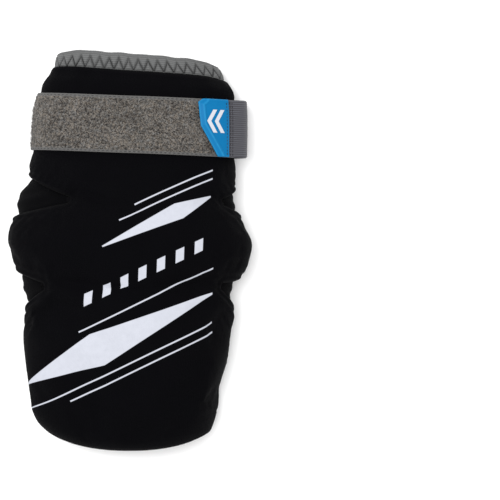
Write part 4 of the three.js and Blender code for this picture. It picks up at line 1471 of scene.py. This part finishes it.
CHEVRON_PLACES = (0.0085, 0.0138)  # of their points, from the tab's seam
CHEVRON_ARM = 0.0080
CHEVRON_WIDTH = 0.0028
CHEVRON_MIDDLE = 0.0045  # across the tab
CHEVRON_SLOPE = 0.55
CHEVRON_RISE = 0.0004  # of its face over the tab's
CHEVRON_ROOT = 0.0003  # how deep it is set in


def make_tab_mark(lengths, fine):
    """Two plain raised chevrons that point to the tab's free end."""
    for k, tip in enumerate(CHEVRON_PLACES):
        t = np.linspace(-1, 1, 17)[:, None]
        w = np.linspace(0, 1, 5)[None, :]
        across = CHEVRON_MIDDLE + t * CHEVRON_ARM + 0 * w
        gone = tip - np.abs(t) * CHEVRON_ARM * CHEVRON_SLOPE + w * CHEVRON_WIDTH
        turn = np.interp(gone, lengths, fine)
        base = tab_height(gone, across)[0]
        top = place_on_strap(turn, across, tab_seat, base + CHEVRON_RISE)
        under = place_on_strap(turn, across, tab_seat, base - CHEVRON_ROOT)
        points, faces = shell(top, under)
        make_piece(f"tab_chevron_{k}", points, faces, WHITE, smooth_faces=False)


def make_tab_seam(lengths, fine):
    """Stitches through the tab's root into the elastic."""
    across = np.linspace(-STRAP_WIDTH / 2 + 0.0015, STRAP_WIDTH / 2 - 0.0015, 80)
    gone = np.full(len(across), TAB_SEAM)
    height = tab_height(gone, across)[0]
    line = place_on_strap(np.interp(gone, lengths, fine), across, tab_seat, height + STITCH_SHOWS)
    make_stitches("tab_seam_stitches", line, SEWN_PITCH, 0.66, SEWN_THREAD)


TOPSTITCH_PITCH = 0.0034
TOPSTITCH_FROM_HEM = 0.012
TOPSTITCH_SINK = 0.0006  # how deep the stitches lie in their groove
TOPSTITCH_JUMP = 0.007  # a gap longer than this is a notch


def make_panel_stitches():
    """Topstitches along the panel's side edges."""
    for left in (True, False):
        line = []
        for y in PANEL_ROWS[::2]:
            if y < -HALF_LENGTH + TOPSTITCH_FROM_HEM:
                continue
            wrap = float(edge_wrap(left, y))
            along = float(row_along(turn_of(left, wrap), y))
            reach = float(girth(turn_of(left, wrap), along)) - STITCH_INSET
            turn = float(turn_at_girth(left, reach, along))
            line.append((turn, float(row_along(turn, y))))
        turns, places = np.array(line).T
        height = panel_seat(places) + panel_thickness(turns, places) - TOPSTITCH_SINK
        points = place(turns, places, height)
        side = "left" if left else "right"
        for k, run in enumerate(split_runs(points, TOPSTITCH_JUMP)):
            if len(run) < 4:
                continue
            name = f"panel_stitches_{side}_{k}"
            make_stitches(name, run, TOPSTITCH_PITCH, 0.66, SEWN_THREAD)


def split_runs(points, jump):
    """A line of points cut where it jumps, as it does over a notch."""
    gaps = np.flatnonzero(np.linalg.norm(np.diff(points, axis=0), axis=1) > jump) + 1
    return np.split(points, gaps)


FLOOR_REACH = 6.0
FLOOR_DROP = 0.0002  # how far the floor lies below the pad


def make_floor():
    mesh = bpy.data.meshes.new("floor")
    corners = [(x * FLOOR_REACH, y * FLOOR_REACH, 0) for x, y in ((-1, -1), (1, -1), (1, 1), (-1, 1))]
    mesh.from_pydata(corners, [], [(0, 1, 2, 3)])
    floor = bpy.data.objects.new("floor", mesh)
    bpy.context.scene.collection.objects.link(floor)
    floor.location.z = -FLOOR_DROP
    dye = Dye("floor_white", Roughness=0.8, Specular_IOR_Level=0.1)
    dye.feed(Base_Color=dye.between(dye.grain(dye.place(), 0.4), (0.93, 0.93, 0.93), (0.95, 0.95, 0.95)))
    mesh.materials.append(dye.material)


PAD_MIDDLE = (0, 0, 0)
LIGHTS = [
    {"name": "key", "at": (-0.9, 0.6, 1.9), "size": 1.2, "power": 20},
    {"name": "overhead", "at": (-0.3, 0.3, 3.6), "size": 2.0, "power": 70},
]


def make_light(name, at, size, power):
    """A round soft light that looks at the pad."""
    lamp = bpy.data.lights.new(name, "AREA")
    lamp.shape = "DISK"
    lamp.size = size
    lamp.energy = power
    light = bpy.data.objects.new(name, lamp)
    bpy.context.scene.collection.objects.link(light)
    light.location = at
    light.rotation_euler = (Vector(PAD_MIDDLE) - Vector(at)).to_track_quat("-Z", "Y").to_euler()


def make_lights():
    world = bpy.data.worlds.new("studio")
    bpy.context.scene.world = world
    world.use_nodes = True
    sky = world.node_tree.nodes["Background"]
    sky.inputs["Color"].default_value = (1, 1, 1, 1)
    sky.inputs["Strength"].default_value = 1.0
    for light in LIGHTS:
        make_light(**light)


def make_camera():
    """A camera straight above, with the photo's scale at the height of the pad's outline."""
    camera = bpy.data.cameras.new("camera")
    camera.sensor_width = SENSOR_WIDTH * 1000
    width = PHOTO_SCALE * PHOTO_SIZE
    camera.lens = SENSOR_WIDTH * 1000 * (CAMERA_HEIGHT - OUTLINE_HEIGHT) / width
    camera.clip_end = 20
    eye = bpy.data.objects.new("camera", camera)
    eye.location = (FRAME_MIDDLE, 0, CAMERA_HEIGHT)
    bpy.context.scene.collection.objects.link(eye)
    bpy.context.scene.camera = eye
    bpy.context.scene.view_settings.view_transform = "Standard"


make_camera()
make_lights()
make_floor()
make_back_seam(make_sleeve())
make_panel()
make_panel_stitches()
make_binding("upper_binding_tape", "upper_binding", UPPER_RIM, 1, 0.001, 0.0006)
make_binding("lower_binding_tape", "lower_binding", LOWER_RIM, -1, 0.001, 0.0004)
loop_end, elastic_start = seam_turns()
make_loop_band(loop_end)
make_elastic(elastic_start)
make_tab()
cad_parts["hook_patch"].data.materials.clear()
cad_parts["hook_patch"].data.materials.append(HOOK)
